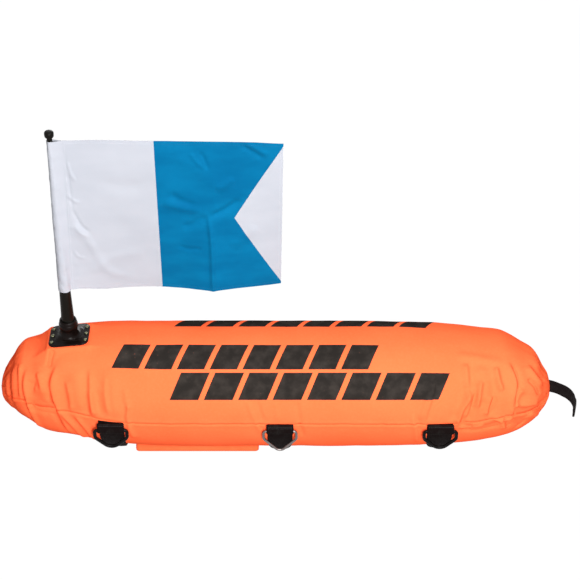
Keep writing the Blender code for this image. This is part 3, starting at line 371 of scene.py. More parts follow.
def cover_cloth():
    """Orange coated cloth: fine weave, a slight painted glow (emission standing in for the fluorescent dye),
    scuffs, and plain leaning blocks.
    """
    # Emission Strength and the glow colour paint light onto the cloth: a glow of its own that no lamp gives.
    finish = Finish("cover_orange", (1.0, 0.170, 0.056), 0.3, Emission_Strength=0.25, Specular_IOR_Level=0.0,
                    Emission_Color=(*PAINTED_GLOW, 1.0))
    place, u, v = finish.cloth()
    fine = finish.noise(place, 240.0, 2.0)
    broad = finish.noise(place, 9.0, 4.0, 0.55).step(0.3, 0.7)
    cloth = finish.mix(broad, (1.0, 0.160, 0.053), (1.0, 0.176, 0.060))
    cloth = finish.mix(fine.step(0.35, 0.8) * 0.14, cloth, (1.0, 0.24, 0.10))
    worn = finish.noise(place, 60.0, 4.0).step(0.35, 0.75)
    ink = finish.mix(worn, (0.022, 0.0185, 0.0165), (0.040, 0.033, 0.029))
    mask = printed_blocks(u, v, fine)
    finish.set("Base Color", finish.mix(mask, cloth, ink))
    # Painted glow on the bare cloth, none under the ink.
    finish.set("Emission Color", finish.mix(mask, PAINTED_GLOW, (0.0, 0.0, 0.0)))
    finish.set("Roughness", 0.27 + fine * 0.07 + mask * 0.07)
    height = weave(finish, u, v, 0.00055) * 0.25 + finish.noise(place, 900.0, 1.0) * 0.12
    finish.bump(height + finish.noise(place, 55.0, 3.0) * 1.6, 0.0004, 0.55)
    return finish.material


# The rows of blocks: lower and upper edge round the cover, then start and end along it.
BLOCK_ROWS = ((0.0873, 0.1283, 0.176, 0.556), (0.0417, 0.0830, 0.262, 0.660))
BLOCKS, BLOCK_GAP, BLOCK_LEAN, BLOCK_EDGE = 8, 0.008, 0.42, 0.0006


def printed_blocks(u, v, fine):
    """Mask of two rows of leaning blocks on each side; u and v are metres along and round the cover.

    The far side carries the near side's rows turned half a turn about the upright axis.
    """
    total = None
    for base, turn in ((0.0, 1.0), (BODY_LENGTH, -1.0)):
        along = u * turn + base
        up = v if turn > 0 else BODY_RADIUS * math.pi - v
        for low, high, start, end in BLOCK_ROWS:
            inside = up.step(low, low + BLOCK_EDGE) * up.step(high, high - BLOCK_EDGE)
            leaning = along - (up - low) * BLOCK_LEAN
            inside = inside * leaning.step(start, start + BLOCK_EDGE) * leaning.step(end, end - BLOCK_EDGE)
            pitch = (end - start + BLOCK_GAP) / BLOCKS
            edge = 1.0 - BLOCK_GAP / pitch
            inside = inside * ((leaning - start) / pitch).math("FRACT").step(edge + 0.012, edge - 0.012)
            total = inside if total is None else total + inside
    return total * (1 - fine.step(0.7, 0.82) * 0.12)


def webbing(name="webbing_black", colour=(0.0045, 0.0020, 0.0019), dusty=0.014):
    """Black webbing: ribs along the strap crossed by the weft, pale dust on the high threads."""
    finish = Finish(name, colour, 0.85, Specular_IOR_Level=0.06)
    place, u, v = finish.cloth()
    rib, cross = finish.wave(v, 0.0021), finish.wave(u, 0.0013)
    dust = finish.noise(place, 70.0, 4.0, 0.6)
    finish.set("Base Color", finish.mix(dust.step(0.45, 0.8) * rib, colour, (dusty, dusty * .86, dusty * .8)))
    finish.bump(rib * 0.6 + cross * 0.4, 0.0005, 0.8)
    return finish.material


def moulded_plastic(name, colour, roughness):
    """Moulded plastic: a fine even grain with slow changes of gloss."""
    finish = Finish(name, colour, roughness, Specular_IOR_Level=0.08)
    place = finish.place()
    slow = finish.noise(place, 55.0)
    finish.set("Roughness", roughness - 0.08 + slow * 0.18)
    pale = tuple(min(1.0, value * 1.9 + 0.006) for value in colour)
    finish.set("Base Color", finish.mix(slow.step(0.5, 0.85) * 0.5, colour, pale))
    finish.bump(finish.noise(place, 1260.0, 2.0), 0.00012, 0.5)
    return finish.material


def drawn_steel(name, colour, roughness):
    """Bent steel wire: fine scratches and dull patches."""
    finish = Finish(name, colour, roughness, Metallic=1.0)
    place = finish.place()
    dull = finish.noise(place, 140.0, 4.0, 0.6)
    finish.set("Roughness", roughness + dull.step(0.45, 0.75) * 0.22)
    dark = tuple(value * 0.6 for value in colour)
    finish.set("Base Color", finish.mix(dull.step(0.5, 0.8) * 0.5, colour, dark))
    finish.bump(finish.noise(place, 900.0, 2.0), 0.0001, 0.4)
    return finish.material


def flag_cloth(name, colour, deep, light):
    """Light polyester: a close plain weave, slow change of tone between two shades."""
    finish = Finish(name, colour, 0.75, Specular_IOR_Level=0.05)
    place, u, v = finish.cloth()
    slow = finish.noise(finish.stretch(place, (1.0, 2.2, 1.0)), 14.0)
    finish.set("Base Color", finish.mix(slow.step(0.28, 0.72), deep, light))
    finish.bump(weave(finish, u, v, 0.0006) * 0.5 + finish.noise(place, 700.0, 1.0) * 0.3, 0.00025, 0.6)
    return finish.material


def plain(name, colour, roughness, **sockets):
    """Hidden or small parts: a mottled tone and a fine grain."""
    finish = Finish(name, colour, roughness, **sockets)
    place = finish.place()
    tone = finish.noise(place, 75.0).step(0.3, 0.7)
    finish.set("Base Color", finish.mix(tone, tuple(value * 0.85 for value in colour), colour))
    finish.bump(finish.noise(place, 300.0, 2.0), 0.00015, 0.5)
    return finish.material


ORANGE = cover_cloth()
WEBBING = webbing()
RING_PLASTIC = moulded_plastic("ring_plastic", (0.0035, 0.0026, 0.0026), 0.34)
SOCKET_PLASTIC = moulded_plastic("socket_plastic", (0.0045, 0.0024, 0.0020), 0.28)
MAST_PLASTIC = moulded_plastic("mast_plastic", (0.0042, 0.0036, 0.0026), 0.42)
STEEL = drawn_steel("ring_steel", (0.19, 0.165, 0.16), 0.34)
RIVET = drawn_steel("rivet_steel", (0.12, 0.12, 0.07), 0.3)
WHITE_FLAG = flag_cloth("flag_white", (0.475, 0.493, 0.545), (0.46, 0.478, 0.532), (0.49, 0.505, 0.558))
BLUE_FLAG = flag_cloth("flag_blue", (0.0002, 0.138, 0.305), (0.0001, 0.118, 0.27), (0.0008, 0.154, 0.33))
# Lighter copy of the black webbing for the keepers' folded ends: a painted highlight where the fold catches
# the light.
WEBBING_FOLD_HIGHLIGHT = webbing("webbing_fold_painted_highlight", (0.0075, 0.0042, 0.0042), 0.025)
THREAD_GREY = plain("thread_grey", (0.16, 0.15, 0.14), 0.7)
THREAD_WHITE = plain("thread_white", (0.62, 0.63, 0.68), 0.7)
THREAD_BLUE = plain("thread_blue", (0.002, 0.13, 0.29), 0.7)
THREAD_BLACK = plain("thread_black", (0.02, 0.018, 0.017), 0.6)
VINYL = plain("valve_vinyl", (0.50, 0.51, 0.53), 0.42, Specular_IOR_Level=0.5)
LEAD = plain("coated_lead", (0.16, 0.16, 0.17), 0.55)


# The body's shape

# In mm from the tip that each is named after: the body's radius, and how far its middle line stands above the
# axis. SEAM_LINE is in mm from the left tip and degrees.
LEFT_END = ((0, 0), (2.3, 19.7), (8.4, 28.8), (14.6, 37.2), (20.7, 43.3), (26.8, 50.9), (32.9, 56.2),
            (39, 60), (45.2, 63), (51.3, 66), (57.5, 69), (69.7, 74.4), (82, 77.8), (103, 82.6),
            (118.7, 85.4), (149.4, 89.6), (180, 92.5), (215, 94.5), (250, 95.5))
RIGHT_END = ((300, 95.5), (229, 94.5), (198, 93.3), (137, 88.8), (106.5, 85.7), (75.8, 81.2), (45.2, 67.5),
             (24.2, 53), (14.5, 38.7), (5.3, 25), (0.7, 12), (0, 0))
LEFT_SAG = ((0, -6), (2.3, -5.7), (8.4, -1.6), (14.6, 1.5), (20.7, 5.6), (26.8, 9.6), (32.9, 10.7),
            (39, 11.8), (45.2, 9.8), (51.3, 7.9), (57.5, 5.9), (69.7, 4.9), (82, 5), (103, 8),
            (118.7, 7.6), (149.4, 5.2), (180, 3.3), (215, 1.5), (250, 0))
RIGHT_SAG = ((0, -10), (0.7, -9.5), (5.3, -8), (14.5, -6.5), (24.2, -0.5), (45.2, -2), (75.8, 2),
             (106.5, 0))
SEAM_LINE = ((0, 3), (46.8, 5), (82.8, 6.4), (113.3, 5), (158, 2.2), (200, 0.5), (640, 0), (723, 0.9),
             (772, 1.5), (801, -2), (838, -6))

profile = [*LEFT_END, (419, 95.5), *((838 - place, reach) for place, reach in RIGHT_END)]
PROFILE = curve_through(np.array(profile, float) * MM, 9000)
PROFILE[:, 1] = np.maximum(PROFILE[:, 1], 0.0)
SEAM = np.array(SEAM_LINE) * (MM, 1.0)
SAG_PLACE = np.linspace(0.0, BODY_LENGTH, 1677)
left_sag, right_sag = np.array(LEFT_SAG) * MM, np.array(RIGHT_SAG) * MM
SAG = np.interp(SAG_PLACE, *left_sag.T) + np.interp(BODY_LENGTH - SAG_PLACE, *right_sag.T)
kernel = np.exp(-(np.arange(-24, 25) / 10.0) ** 2)
SAG = np.convolve(np.pad(SAG, 24, mode="edge"), kernel / kernel.sum(), mode="valid")


def frame_radius(s):
    """Radius of the CAD cover: a superellipse at each end."""
    left = np.clip(s / LEFT_END_LENGTH, 0.0, 1.0)
    right = np.clip((BODY_LENGTH - s) / RIGHT_END_LENGTH, 0.0, 1.0)
    return BODY_RADIUS * np.sqrt(1 - (1 - left) ** 2) * np.sqrt(1 - (1 - right) ** 3)


def cover_radius(s, a):
    """Radius of the cover: the photo's profile, and the CAD's at the height of the ring keepers."""
    own = np.interp(s, *PROFILE.T)
    near_keepers = smooth((s - 0.13) / 0.03) * smooth((BODY_LENGTH - s - 0.09) / 0.025)
    return own + (frame_radius(s) - own) * near_keepers * np.cos(np.radians(a)) ** 4


def seam_angle(s):
    return np.interp(s, *SEAM.T)


def spine(s):
    return AXIS_HEIGHT + np.interp(s, SAG_PLACE, SAG)


def belly(x):
    """Lowest height of the cover: on the straps, and higher over the pocket."""
    over = POCKET_LENGTH / 2 + POCKET_LEAD - np.abs(x - POCKET_X)
    return STRAP_BOTTOM + (POCKET_DEPTH + GAP - STRAP_BOTTOM) * smooth(over / POCKET_LEAD)


def seat_weight(x, y):
    """1 under the mast's plate and 0 from a narrow edge beyond it."""
    beyond = np.hypot(np.maximum(np.abs(x - MAST_X) - PLATE_LENGTH / 2, 0.0),
                      np.maximum(np.abs(y) - PLATE_WIDTH / 2, 0.0))
    return smooth((SEAT_EDGE - beyond) / SEAT_EDGE)


def seat_height(x):
    return SEAT_AT_MAST + (x - MAST_X) * PLATE_SLOPE


def drawn_up(x, y, z):
    """Cloth held up by the plate: slopes that steepen away from its edges, rounded into the cover."""
    left = np.maximum(MAST_X - PLATE_LENGTH / 2 - x, 0.0)
    right = np.maximum(x - MAST_X - PLATE_LENGTH / 2, 0.0)
    side = np.maximum(np.abs(y) - PLATE_WIDTH / 2, 0.0)
    slope = seat_height(np.clip(x, MAST_X - PLATE_LENGTH / 2, MAST_X + PLATE_LENGTH / 2))
    slope = slope - 0.75 * left - 4.0 * left ** 2 - 0.25 * right - 0.95 * side - 6.0 * side ** 2
    return higher(z, slope, 0.003)


def on_cover(s, a, out=0.0):
    """Points out from the smooth cover: a round section, flat below and flat under the plate."""
    turn = np.radians(a)
    reach = cover_radius(s, a) + out
    x, y, z = np.broadcast_arrays(LEFT_TIP + s, -reach * np.cos(turn), spine(s) + reach * np.sin(turn))
    above = smooth(np.sin(turn) / 0.3)
    z = z + above * (drawn_up(x, y, z - out) + out - z)
    z = z + above * seat_weight(x, y) * (seat_height(x) + out - z)
    return stacked(x, y, higher(z, belly(x) - out, 0.0006))


# Folds of the cover: height and half width in mm, side, then the line in (s in mm, a in degrees).
# A positive side puts a valley on the right-hand edge of the fold, a negative side on the left.
FOLDS = (
    (2.2, 4.0, -.6, ((49.5, 54.6), (45.3, 40.5), (44.3, 26.5), (47.3, 10.1), (51.8, -5.8), (57.4, -20.5),
                     (62.6, -43.8))),
    (2.2, 4.0, -.7, ((96.1, 56.8), (90.4, 47.7), (86.7, 37.3), (90.1, 20.7), (95.1, 6.3), (104.5, -15.8),
                     (114.2, -38.9))),
    (-1.6, 4.0, 0, ((89.6, 75.9), (83.2, 63.3), (79.3, 53.2))),
    (0.6, 3.0, .5, ((12.4, 52.7), (12.6, 27.2), (13, -1))),
    (0.9, 3.5, -.5, ((23.9, 61), (23.7, 29.7), (23.6, -9.4))),
    (1.2, 3.0, -.4, ((36.3, 63.5), (35.7, 36.5), (35.7, 4.5))),
    (1.6, 4.6, -.6, ((145, 52), (146, 27), (149, 3))),
    (1.2, 5.0, .7, ((146, 32), (148, 20), (153, 5))),
    (0.8, 4.0, 0, ((196.9, 34.8), (200.6, 14.1))),
    (1.6, 4.0, -.5, ((98.2, 6.4), (114.2, -12.1), (132.8, -45))),
    (1.5, 4.0, -.5, ((119.2, 3.2), (134.8, -14.9), (147.8, -46.3))),
    (1.1, 4.5, 0, ((199.4, -1.6), (207.6, -20.7))),
    (1.2, 3.6, -.5, ((65.4, 50.3), (71.9, 29.6))),
    (1.0, 4.0, -.4, ((109, 39.4), (114.5, 19), (116.4, 5.4))),
    (2.1, 3.8, .8, ((702.2, 35.7), (705.3, 29.9), (695.5, 13.8), (688, -3.7))),
    (1.2, 4.5, .5, ((701.5, 60), (702.3, 46.2), (703.7, 33.8))),
    (1.6, 4.0, .5, ((746.3, 57.5), (750.2, 42.9), (756.3, 30.3))),
    (2.4, 4.0, .8, ((764.8, 62.5), (775, 41.4), (773.8, 20.8), (771, -1.3))),
    (1.3, 4.5, .7, ((795.9, 66), (809, 50.5), (820.5, 38))),
    (-2.0, 3.2, 0, ((796, 48.2), (809, 36.5), (816.7, 20.9))),
    (-1.9, 4.2, 0, ((771.9, 3.4), (792.7, 2.8), (820, -1.5))),
    (-2.4, 3.0, 0, ((816, 2), (829, 6), (837, 9))),
    (1.5, 5.0, 0, ((773, 14), (794, 13), (815, 9))),
    (1.4, 3.6, .6, ((723.2, 43.4), (720.3, 28.7), (717.9, 15.3))),
    (1.4, 3.4, .6, ((739.8, 28), (734.5, 14.6), (732.1, 6.7))),
    (1.2, 3.5, .5, ((753.8, .2), (763.9, -18.5))),
    (0.9, 7.0, 0, ((685.6, 68), (730.2, 63.9), (760, 59.7))),
    (-2.0, 8.0, 0, ((46, 3), (60, 5), (80, 6), (94, 5))),
    (1.5, 9.0, 0, ((58, 32), (68, 30), (84, 28))),
    (-0.9, 11.0, 0, ((60, 44), (64, 20), (70, 8))),
    (0.9, 12.0, 0, ((72, 60), (64, 46), (60, 34))),
    (-0.9, 10.0, 0, ((104, 46), (108, 28), (112, 10))),
    (0.9, 12.0, 0, ((124, 52), (126, 30), (130, 8))),
    (-0.7, 9.0, 0, ((148, 52), (150, 30), (154, 8))),
    (0.7, 12.0, 0, ((172, 54), (176, 30), (180, 6))),
    (-0.9, 10.0, 0, ((700, 44), (690, 22), (682, 2))),
    (-1.0, 9.0, 0, ((744, 46), (741, 28), (738, 6))),
    (-0.9, 9.0, 0, ((786, 30), (785, 16), (784, 2))),
    (0.9, 10.0, 0, ((722, 58), (728, 40), (726, 20))),
    (-1.8, 5.0, 0, ((690, -7), (730, -10), (764, -9))),
    (1.0, 5.0, .6, ((772, -6), (782, -15), (787, -24))),
    (-1.8, 8.0, 0, ((764, -8), (780, -14), (790, -26))),
    (1.2, 5.0, .6, ((800, -4), (810, -14), (818, -26))),
    (-0.8, 2.6, 0, ((392, 24), (397, 12), (402, 2))),
    (-0.9, 2.6, 0, ((450, 26), (453, 12), (456, -2), (461, -18))),
    (0.7, 2.6, .5, ((378, 26), (386, 10), (398, -12))),
    (0.5, 3.0, 0, ((420, 24), (421, 12), (423, 3))),
    (1.0, 2.8, .7, ((655, 44), (650, 28), (642, 10), (640, 2))),
    (0.8, 2.6, .6, ((648, 40), (642, 24), (634, 4))),
    (0.9, 3.0, .5, ((622, 12), (629, -8), (633, -30))),
    (1.0, 3.0, -.5, ((203, 22), (199, 8), (201, -6))),
    (0.8, 3.2, .4, ((168, 46), (168, 28), (172, 8))),
    (1.2, 3.2, .7, ((690, -4), (712, -7), (733, -4))),
    (1.1, 3.0, -.6, ((742, 2), (757, -3), (776, -2))),
    (1.3, 3.0, .6, ((713, 36), (707, 20), (699, 4))),
    (1.3, 3.0, -.6, ((786, 36), (781, 22), (777, 9))),
)

# Times the table's heights: how deep the folds are everywhere, and how much deeper on the right-hand end.
FOLD_DEPTH, RIGHT_END_FOLDS, RIGHT_END_FROM = 2.2, 1.2, 600
LOWEST_FOLD, HIGHEST_FOLD = -1.8, 1.7


def far_folds():
    """The far side's folds, which the photo doesn't show: the near ones, mirrored and moved along."""
    moved = []
    for height, width, side, line in FOLDS:
        shift = -7.0 if line[0][0] < 419 else 6.0
        line = tuple((s + shift * math.cos(s), 180 - a) for s, a in line)
        moved.append((height * 0.9, width * 1.1, side, line))
    return tuple(moved)


def fold_field(s, a):
    """Height in metres of all the folds on a grid of s (rows) and a (columns).

    Each is exp(-(d / w)^2) across its line, wider on its gentle side, less a valley on its steep side. It
    dies away at its ends, under the belly and, on the far side, towards the top. Heights are held between
    two limits.
    """
    arc_step = np.maximum(cover_radius(s, 0.0) / MM, 15.0) * math.pi / 180
    s_mm, arc_step, angles = np.broadcast_arrays(s / MM, arc_step, a)
    field = np.zeros(s_mm.shape)
    for height, width, side, line in FOLDS + far_folds():
        dense = curve_through(line, 40)
        rows = np.where((s_mm[:, 0] > dense[:, 0].min() - 30) & (s_mm[:, 0] < dense[:, 0].max() + 30))[0]
        columns = np.where(np.abs(angles[0] - dense[:, 1].mean()) < np.ptp(dense[:, 1]) / 2 + 40)[0]
        if not len(rows) or not len(columns):
            continue
        block = np.ix_(rows, columns)
        angle = angles[block]
        gap, signed, at = nearest(dense, s_mm[block], angle, arc_step[block])
        reach = width * np.where(signed * side > 0, 0.8, 1.0 + 0.8 * abs(side))
        shape = np.exp(-(gap / reach) ** 2)
        if side:
            valley = signed - math.copysign(1.8 * width, side)
            shape = shape - 0.75 * abs(side) * np.exp(-(valley / (1.3 * width)) ** 2)
        shape = shape * smooth((angle + 54) / 24) * smooth(np.minimum(at, 1 - at) / 0.22 + 0.12)
        if line[0][1] > 90:
            shape = shape * smooth((angle - 136) / 18)
        depth = FOLD_DEPTH * MM * (RIGHT_END_FOLDS if line[0][0] >= RIGHT_END_FROM else 1.0)
        field[block] += np.clip(height, LOWEST_FOLD, HIGHEST_FOLD) * depth * shape
    return field


def wrinkles(s, a):
    """Slow waves all over, short gathers along the seams and across the ends, in metres."""
    reach = np.maximum(cover_radius(s, a), 0.02)
    arc = np.radians(a) * reach
    q = BODY_LENGTH - s
    tips = np.exp(-s / 0.11) + np.exp(-q / 0.11)
    field = (0.00045 + 0.0004 * tips) * value_noise(s / 0.055, arc / 0.035, 3)
    field = field + (0.00022 + 0.0002 * tips) * value_noise(s / 0.02, arc / 0.026, 4)
    for angle, seed in ((a - seam_angle(s), 5), (180 - seam_angle(s) - a, 6)):
        off = np.abs(np.radians(angle)) * reach
        near = np.exp(-(off / 0.017) ** 2)
        field = field + 0.00055 * near * value_noise(s / 0.0085, off / 0.03, seed)
        groove, swell = np.exp(-(off / 0.0013) ** 2), np.exp(-((off - 0.0034) / 0.0022) ** 2)
        field = field - 0.0011 * groove + 0.0005 * swell
    ends = np.exp(-s / 0.055) + np.exp(-q / 0.05)
    turns = a / 360
    gathers = value_noise(turns * 31, s / 0.05, 7, 31) + 0.5 * value_noise(turns * 62, s / 0.03, 8, 62)
    return (field + 0.0009 * ends * gathers) * smooth(np.minimum(s, q) / 0.006)


def from_valve(s, a):
    return np.hypot(s - VALVE_S, np.radians(a - VALVE_ANGLE) * VALVE_REACH)


def calm(s, a):
    """1 on free cloth, 0 where a strap, the plate or the valve presses it flat."""
    x = LEFT_TIP + s
    under = np.where((a < 3.0) | (a > 177.0), 1.0, 0.0)
    free = 1.0 - under * sum(smooth((0.027 - np.abs(x - strap)) / 0.007) for strap in STRAP_X.values())
    weight = seat_weight(x, -cover_radius(s, a) * np.cos(np.radians(a)))
    free = free * (1 - np.where((a > 0) & (a < 180), weight, 0.0))
    return free * smooth((from_valve(s, a) - 0.013) / 0.02)


def dressed_cover(s, a):
    """Points of the finished cover: the smooth body moved along its normals by folds and wrinkles.

    The cloth also stands out a little round the valve.
    """
    base = on_cover(s, a)
    normal = unit(np.cross(np.gradient(base, axis=0), np.gradient(base, axis=1)))
    outward = base - stacked(base[..., 0], 0.0, spine(s))
    normal = normal * np.sign(np.sum(normal * outward, axis=-1, keepdims=True) + 1e-12)
    a = np.where(a < -90.0, a + 360.0, a)
    height = (fold_field(s, a) + wrinkles(s, a)) * calm(s, a)
    height = height + 0.0006 * np.exp(-(from_valve(s, a) / 0.028) ** 2)
    points = base + normal * height[..., None]
    points[..., 2] = np.maximum(points[..., 2], belly(points[..., 0]))
    return points, base, normal


def cover_rows():
    """Places along the cover, evenly by arc length but closer together at the ends."""
    run, s = run_along(PROFILE), PROFILE[:, 0]
    density = 1.0 + 0.9 * smooth((0.23 - s) / 0.06) + 0.9 * smooth((s - 0.62) / 0.06)
    weight = np.concatenate([[0.0], np.cumsum(np.diff(run) * density[1:])])
    return np.interp(np.linspace(0.0, weight[-1], 521), weight, s)


def cover_panel(name, node, above):
    """Half of the cover from seam to seam: outer cloth, a plain inner wall, and rims that join them."""
    s = cover_rows()[:, None]
    seam = seam_angle(s)
    share = np.linspace(0.0, 1.0, 161)[None, :]
    a = seam + (180 - 2 * seam) * share if above else seam - (180 + 2 * seam) * share
    outer, base, normal = dressed_cover(s, a)
    inner = (base - normal * COVER_DEPTH)[::4, ::4]
    rows, columns = outer.shape[:2]
    small_rows, small_columns = inner.shape[:2]
    start = rows * columns
    faces = quads(rows, columns).tolist() + quads(small_rows, small_columns, start=start).tolist()
    grid = np.arange(start).reshape(rows, columns)
    small = start + np.arange(small_rows * small_columns).reshape(small_rows, small_columns)
    for long_side, short_side in ((grid[:, 0], small[:, 0]), (grid[:, -1], small[:, -1])):
        for index in range(len(short_side) - 1):
            rim = list(long_side[4 * index:4 * index + 5])
            faces.append(rim + [short_side[index + 1], short_side[index]])
    points = np.concatenate([outer.reshape(-1, 3), inner.reshape(-1, 3)])
    uv = stacked(s, np.radians(a) * BODY_RADIUS)
    uv = np.concatenate([uv.reshape(-1, 2), uv[::4, ::4].reshape(-1, 2)])
    make_piece(name, ORANGE, "orange_cover", points, faces, uv, node)


cover_panel("cover_upper_panel", "cover_upper", True)
cover_panel("cover_lower_panel", "cover_lower", False)


# Air bladder and the strips inside

def air_bladder():
    """Slack inner skin that stops short of the right tip."""
    s = np.interp(np.linspace(0.0, 1.0, 81), [0.0, 0.5, 1.0], [0.006, 0.42, BLADDER_END])[:, None]
    a = np.linspace(0.0, 360.0, 64, endpoint=False)[None, :]
    skin = on_cover(s, a, -BLADDER_SLACK)
    middle = stacked(skin[..., 0], 0.0, spine(s))
    close = np.sqrt(1 - (1 - smooth((BLADDER_END - s) / 0.06)) ** 2) * smooth((s - 0.004) / 0.02)
    skin = middle + (skin - middle) * close[..., None]
    make_piece("air_bladder", VINYL, "grey_vinyl", skin, tube(skin),
               stacked(s, np.radians(a) * BODY_RADIUS), "bladder")


def inner_tape(side, a):
    """Tape that backs a side seam, laid inside the cover."""
    s = np.linspace(0.03, 0.808, 160)[:, None]
    across, depth = np.array([-1, -1, 1, 1]) * 0.007, np.array([0, -1, -1, 0]) * 0.001
    points = on_cover(s, a + np.degrees(across / BODY_RADIUS), -0.003 + depth)
    make_piece("inner_tape_" + side, WEBBING, "black_webbing", points, tube(points),
               stacked(s, across), "seam_tape_" + side, sharp=40)


air_bladder()
inner_tape("near", 1.0)
inner_tape("far", 179.0)
for node, finish in (("ballast_weight", LEAD), ("socket_backing_plate", SOCKET_PLASTIC),
                     ("closure_hook_strip", THREAD_BLACK), ("closure_loop_strip", THREAD_BLACK)):
    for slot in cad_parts[node].material_slots:
        slot.material = finish


# Webbing straps, keepers and rings

def girth_strap(place, pinched):
    """Webbing laid on the cover from seam to seam under the belly, drawn narrower on both its quarters."""
    a = np.concatenate([[0.6], np.linspace(0.0, -180.0, 145), [-180.6]])[:, None]
    pinch = np.exp(-((a + 56.0) / 17.0) ** 2) + np.exp(-((a + 124.0) / 17.0) ** 2)
    across = SIDE * WEBBING_WIDTH / 2
    lift = 0.0048 * pinch * (1 - 0.5 * SIDE ** 2)
    points = on_cover(STRAP_X[place] - LEFT_TIP + across * (1 - pinched * pinch), a,
                      0.0012 + UP * WEBBING_WALL + lift)
    points[..., 2] = np.maximum(points[..., 2], 0.0)
    make_piece("strap_" + place, WEBBING, "black_webbing", points, tube(points),
               stacked(np.radians(a) * BODY_RADIUS, across), "girth_strap_" + place)


def bar_of(place, side, face):
    """Middle of a ring's straight bar, from the ring's box in the frame, where its section is eight-sided."""
    low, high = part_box(f"ring_{place}_{side}")
    top = high[2] - face / 2 * math.cos(math.pi / 8)
    return np.array([(low[0] + high[0]) / 2, (low[1] + high[1]) / 2, top])


def keeper_loop(bar, toward, bar_radius):
    """Lines of the keeper's cloth: down, round under the bar and up again, and then its folded end."""
    middle = bar_radius + BAR_CLEARANCE + KEEPER_WALL / 2
    turn = np.radians(np.linspace(0.0, -202.0, 34))
    down = stacked(middle, np.linspace(KEEPER_TOP - 0.0012, 0.0003, 9))
    under = middle * stacked(np.cos(turn), np.sin(turn))
    top = np.array([middle - KEEPER_WALL * 1.02, KEEPER_TOP - 0.0016])
    up = under[-1] + (top - under[-1]) * np.linspace(0.1, 1.0, 9)[:, None]
    turn = np.radians(np.linspace(0.0, 180.0, 13))
    fold_x, fold_z = middle - KEEPER_WALL * 1.55, KEEPER_TOP - 0.0013
    bend = stacked(fold_x + 0.0009 * np.cos(turn), fold_z + 0.0009 * np.sin(turn))
    tail = stacked(fold_x - 0.0009 - np.linspace(0, 0.0005, 9), fold_z - np.linspace(0.0004, 0.0040, 9))
    return [stacked(bar[0], bar[1] + toward * line[:, 0], bar[2] + line[:, 1])
            for line in (np.concatenate([down, under, up]), np.concatenate([bend, tail]))]


def ring_line(width, drop, side_drop, corner, tip, steps=14):
    """Closed five-sided line in (across, down): a bar, two sides and a blunt point, an arc at each corner."""
    half, low = width / 2, drop
    for _ in range(12):
        low = drop + tip * (1.0 / math.sin(math.atan2(half, low - side_drop)) - 1.0)
    corners = np.array([(-half, 0), (half, 0), (half, -side_drop), (0, -low), (-half, -side_drop)])
    line = []
    for index, radius in enumerate((corner, corner, corner * 2, tip, corner * 2)):
        here = corners[index]
        before, after = unit(corners[index - 1] - here), unit(corners[(index + 1) % 5] - here)
        angle = math.acos(np.dot(before, after)) / 2
        centre = here + unit(before + after) * radius / math.sin(angle)
        first = here + before * radius / math.tan(angle) - centre
        last = here + after * radius / math.tan(angle) - centre
        turn = math.atan2(first[0] * last[1] - first[1] * last[0], np.dot(first, last))
        spin = np.linspace(0.0, turn, steps)
        line.append(centre + stacked(first[0] * np.cos(spin) - first[1] * np.sin(spin),
                                     first[0] * np.sin(spin) + first[1] * np.cos(spin)))
    return np.concatenate(line)


def swing_ring(name, bar, line, face, depth, square, finish, slot):
    """Ring on its bar: a section |x|^n + |y|^n = 1 carried round the closed line."""
    along = unit(np.roll(line, -1, axis=0) - np.roll(line, 1, axis=0))
    normal = stacked(along[:, 1], -along[:, 0])
    turn = np.linspace(0.0, 2 * np.pi, 24, endpoint=False)
    wide, deep = (np.sign(wave) * np.abs(wave) ** (2 / square) * size / 2
                  for wave, size in ((np.cos(turn), face), (np.sin(turn), depth)))
    flat = line[:, None, :] + normal[:, None, :] * wide[None, :, None]
    points = stacked(bar[0] + flat[..., 0], bar[1] + deep, bar[2] + flat[..., 1])
    make_piece("hung_" + name, finish, slot, points, tube(points, True), None, name, body=name)


# A kind of ring: face, depth and squareness of its section, finish and slot, its line, its keeper's width.
PLASTIC_RING = (0.0052, 0.0042, 2.9, RING_PLASTIC, "black_plastic",
                ring_line(0.048, 0.0318, 0.0145, 0.0045, 0.014), 0.0398)
STEEL_RING = (0.004, 0.004, 2.0, STEEL, "steel", ring_line(0.049, 0.0366, 0.015, 0.0045, 0.009), 0.0405)

stitch_points, stitch_normals = [], []
for place, pinched, kind in (("left", 0.1, PLASTIC_RING), ("middle", 0.5, STEEL_RING),
                             ("right", 0.45, PLASTIC_RING)):
    girth_strap(place, pinched)
    face, depth, square, finish, slot, line, wide = kind
    for side, toward in (("near", 1.0), ("far", -1.0)):
        bar = bar_of(place, side, face)
        loop, flap = keeper_loop(bar, toward, face / 2)
        name = f"keeper_{place}_{side}"
        make_piece(name, WEBBING, "black_webbing", *band(loop, (1, 0, 0), wide, KEEPER_WALL),
                   "ring_" + name)
        # The folded end wears the lighter webbing copy, a painted highlight on the fold.
        make_piece(name + "_fold", WEBBING_FOLD_HIGHLIGHT, "black_webbing",
                   *band(flap, (1, 0, 0), wide, 0.0015))
        swing_ring(f"ring_{place}_{side}", bar, line, face, depth, square, finish, slot)
        for row in (-7, -2):
            spots = stacked(np.linspace(-0.0165, 0.0165, 12), -toward * 0.00078, 0.0)
            stitch_points.append(flap[row] + spots)
            stitch_normals.append(np.tile([0.0, -toward, 0.0], (12, 1)))
sew("keeper_stitches", THREAD_BLACK, "black_webbing", np.concatenate(stitch_points),
    np.concatenate(stitch_normals), (1.0, 0.0, 0.0), 0.0021, 0.00022)


# Belly pocket

def belly_underside(x, y):
    """Height of the cover's underside at (x, y)."""
    s = x - LEFT_TIP
    reach = cover_radius(s, -90.0)
    return np.maximum(spine(s) - np.sqrt(np.maximum(reach ** 2 - y ** 2, 1e-8)), belly(x))


POCKET_SIDES = 240


def pocket_ring(inset, corner):
    outline = rounded_outline(POCKET_LENGTH - 2 * inset, POCKET_WIDTH - 2 * inset, corner, POCKET_SIDES)
    return POCKET_X + outline[:, 0], outline[:, 1]


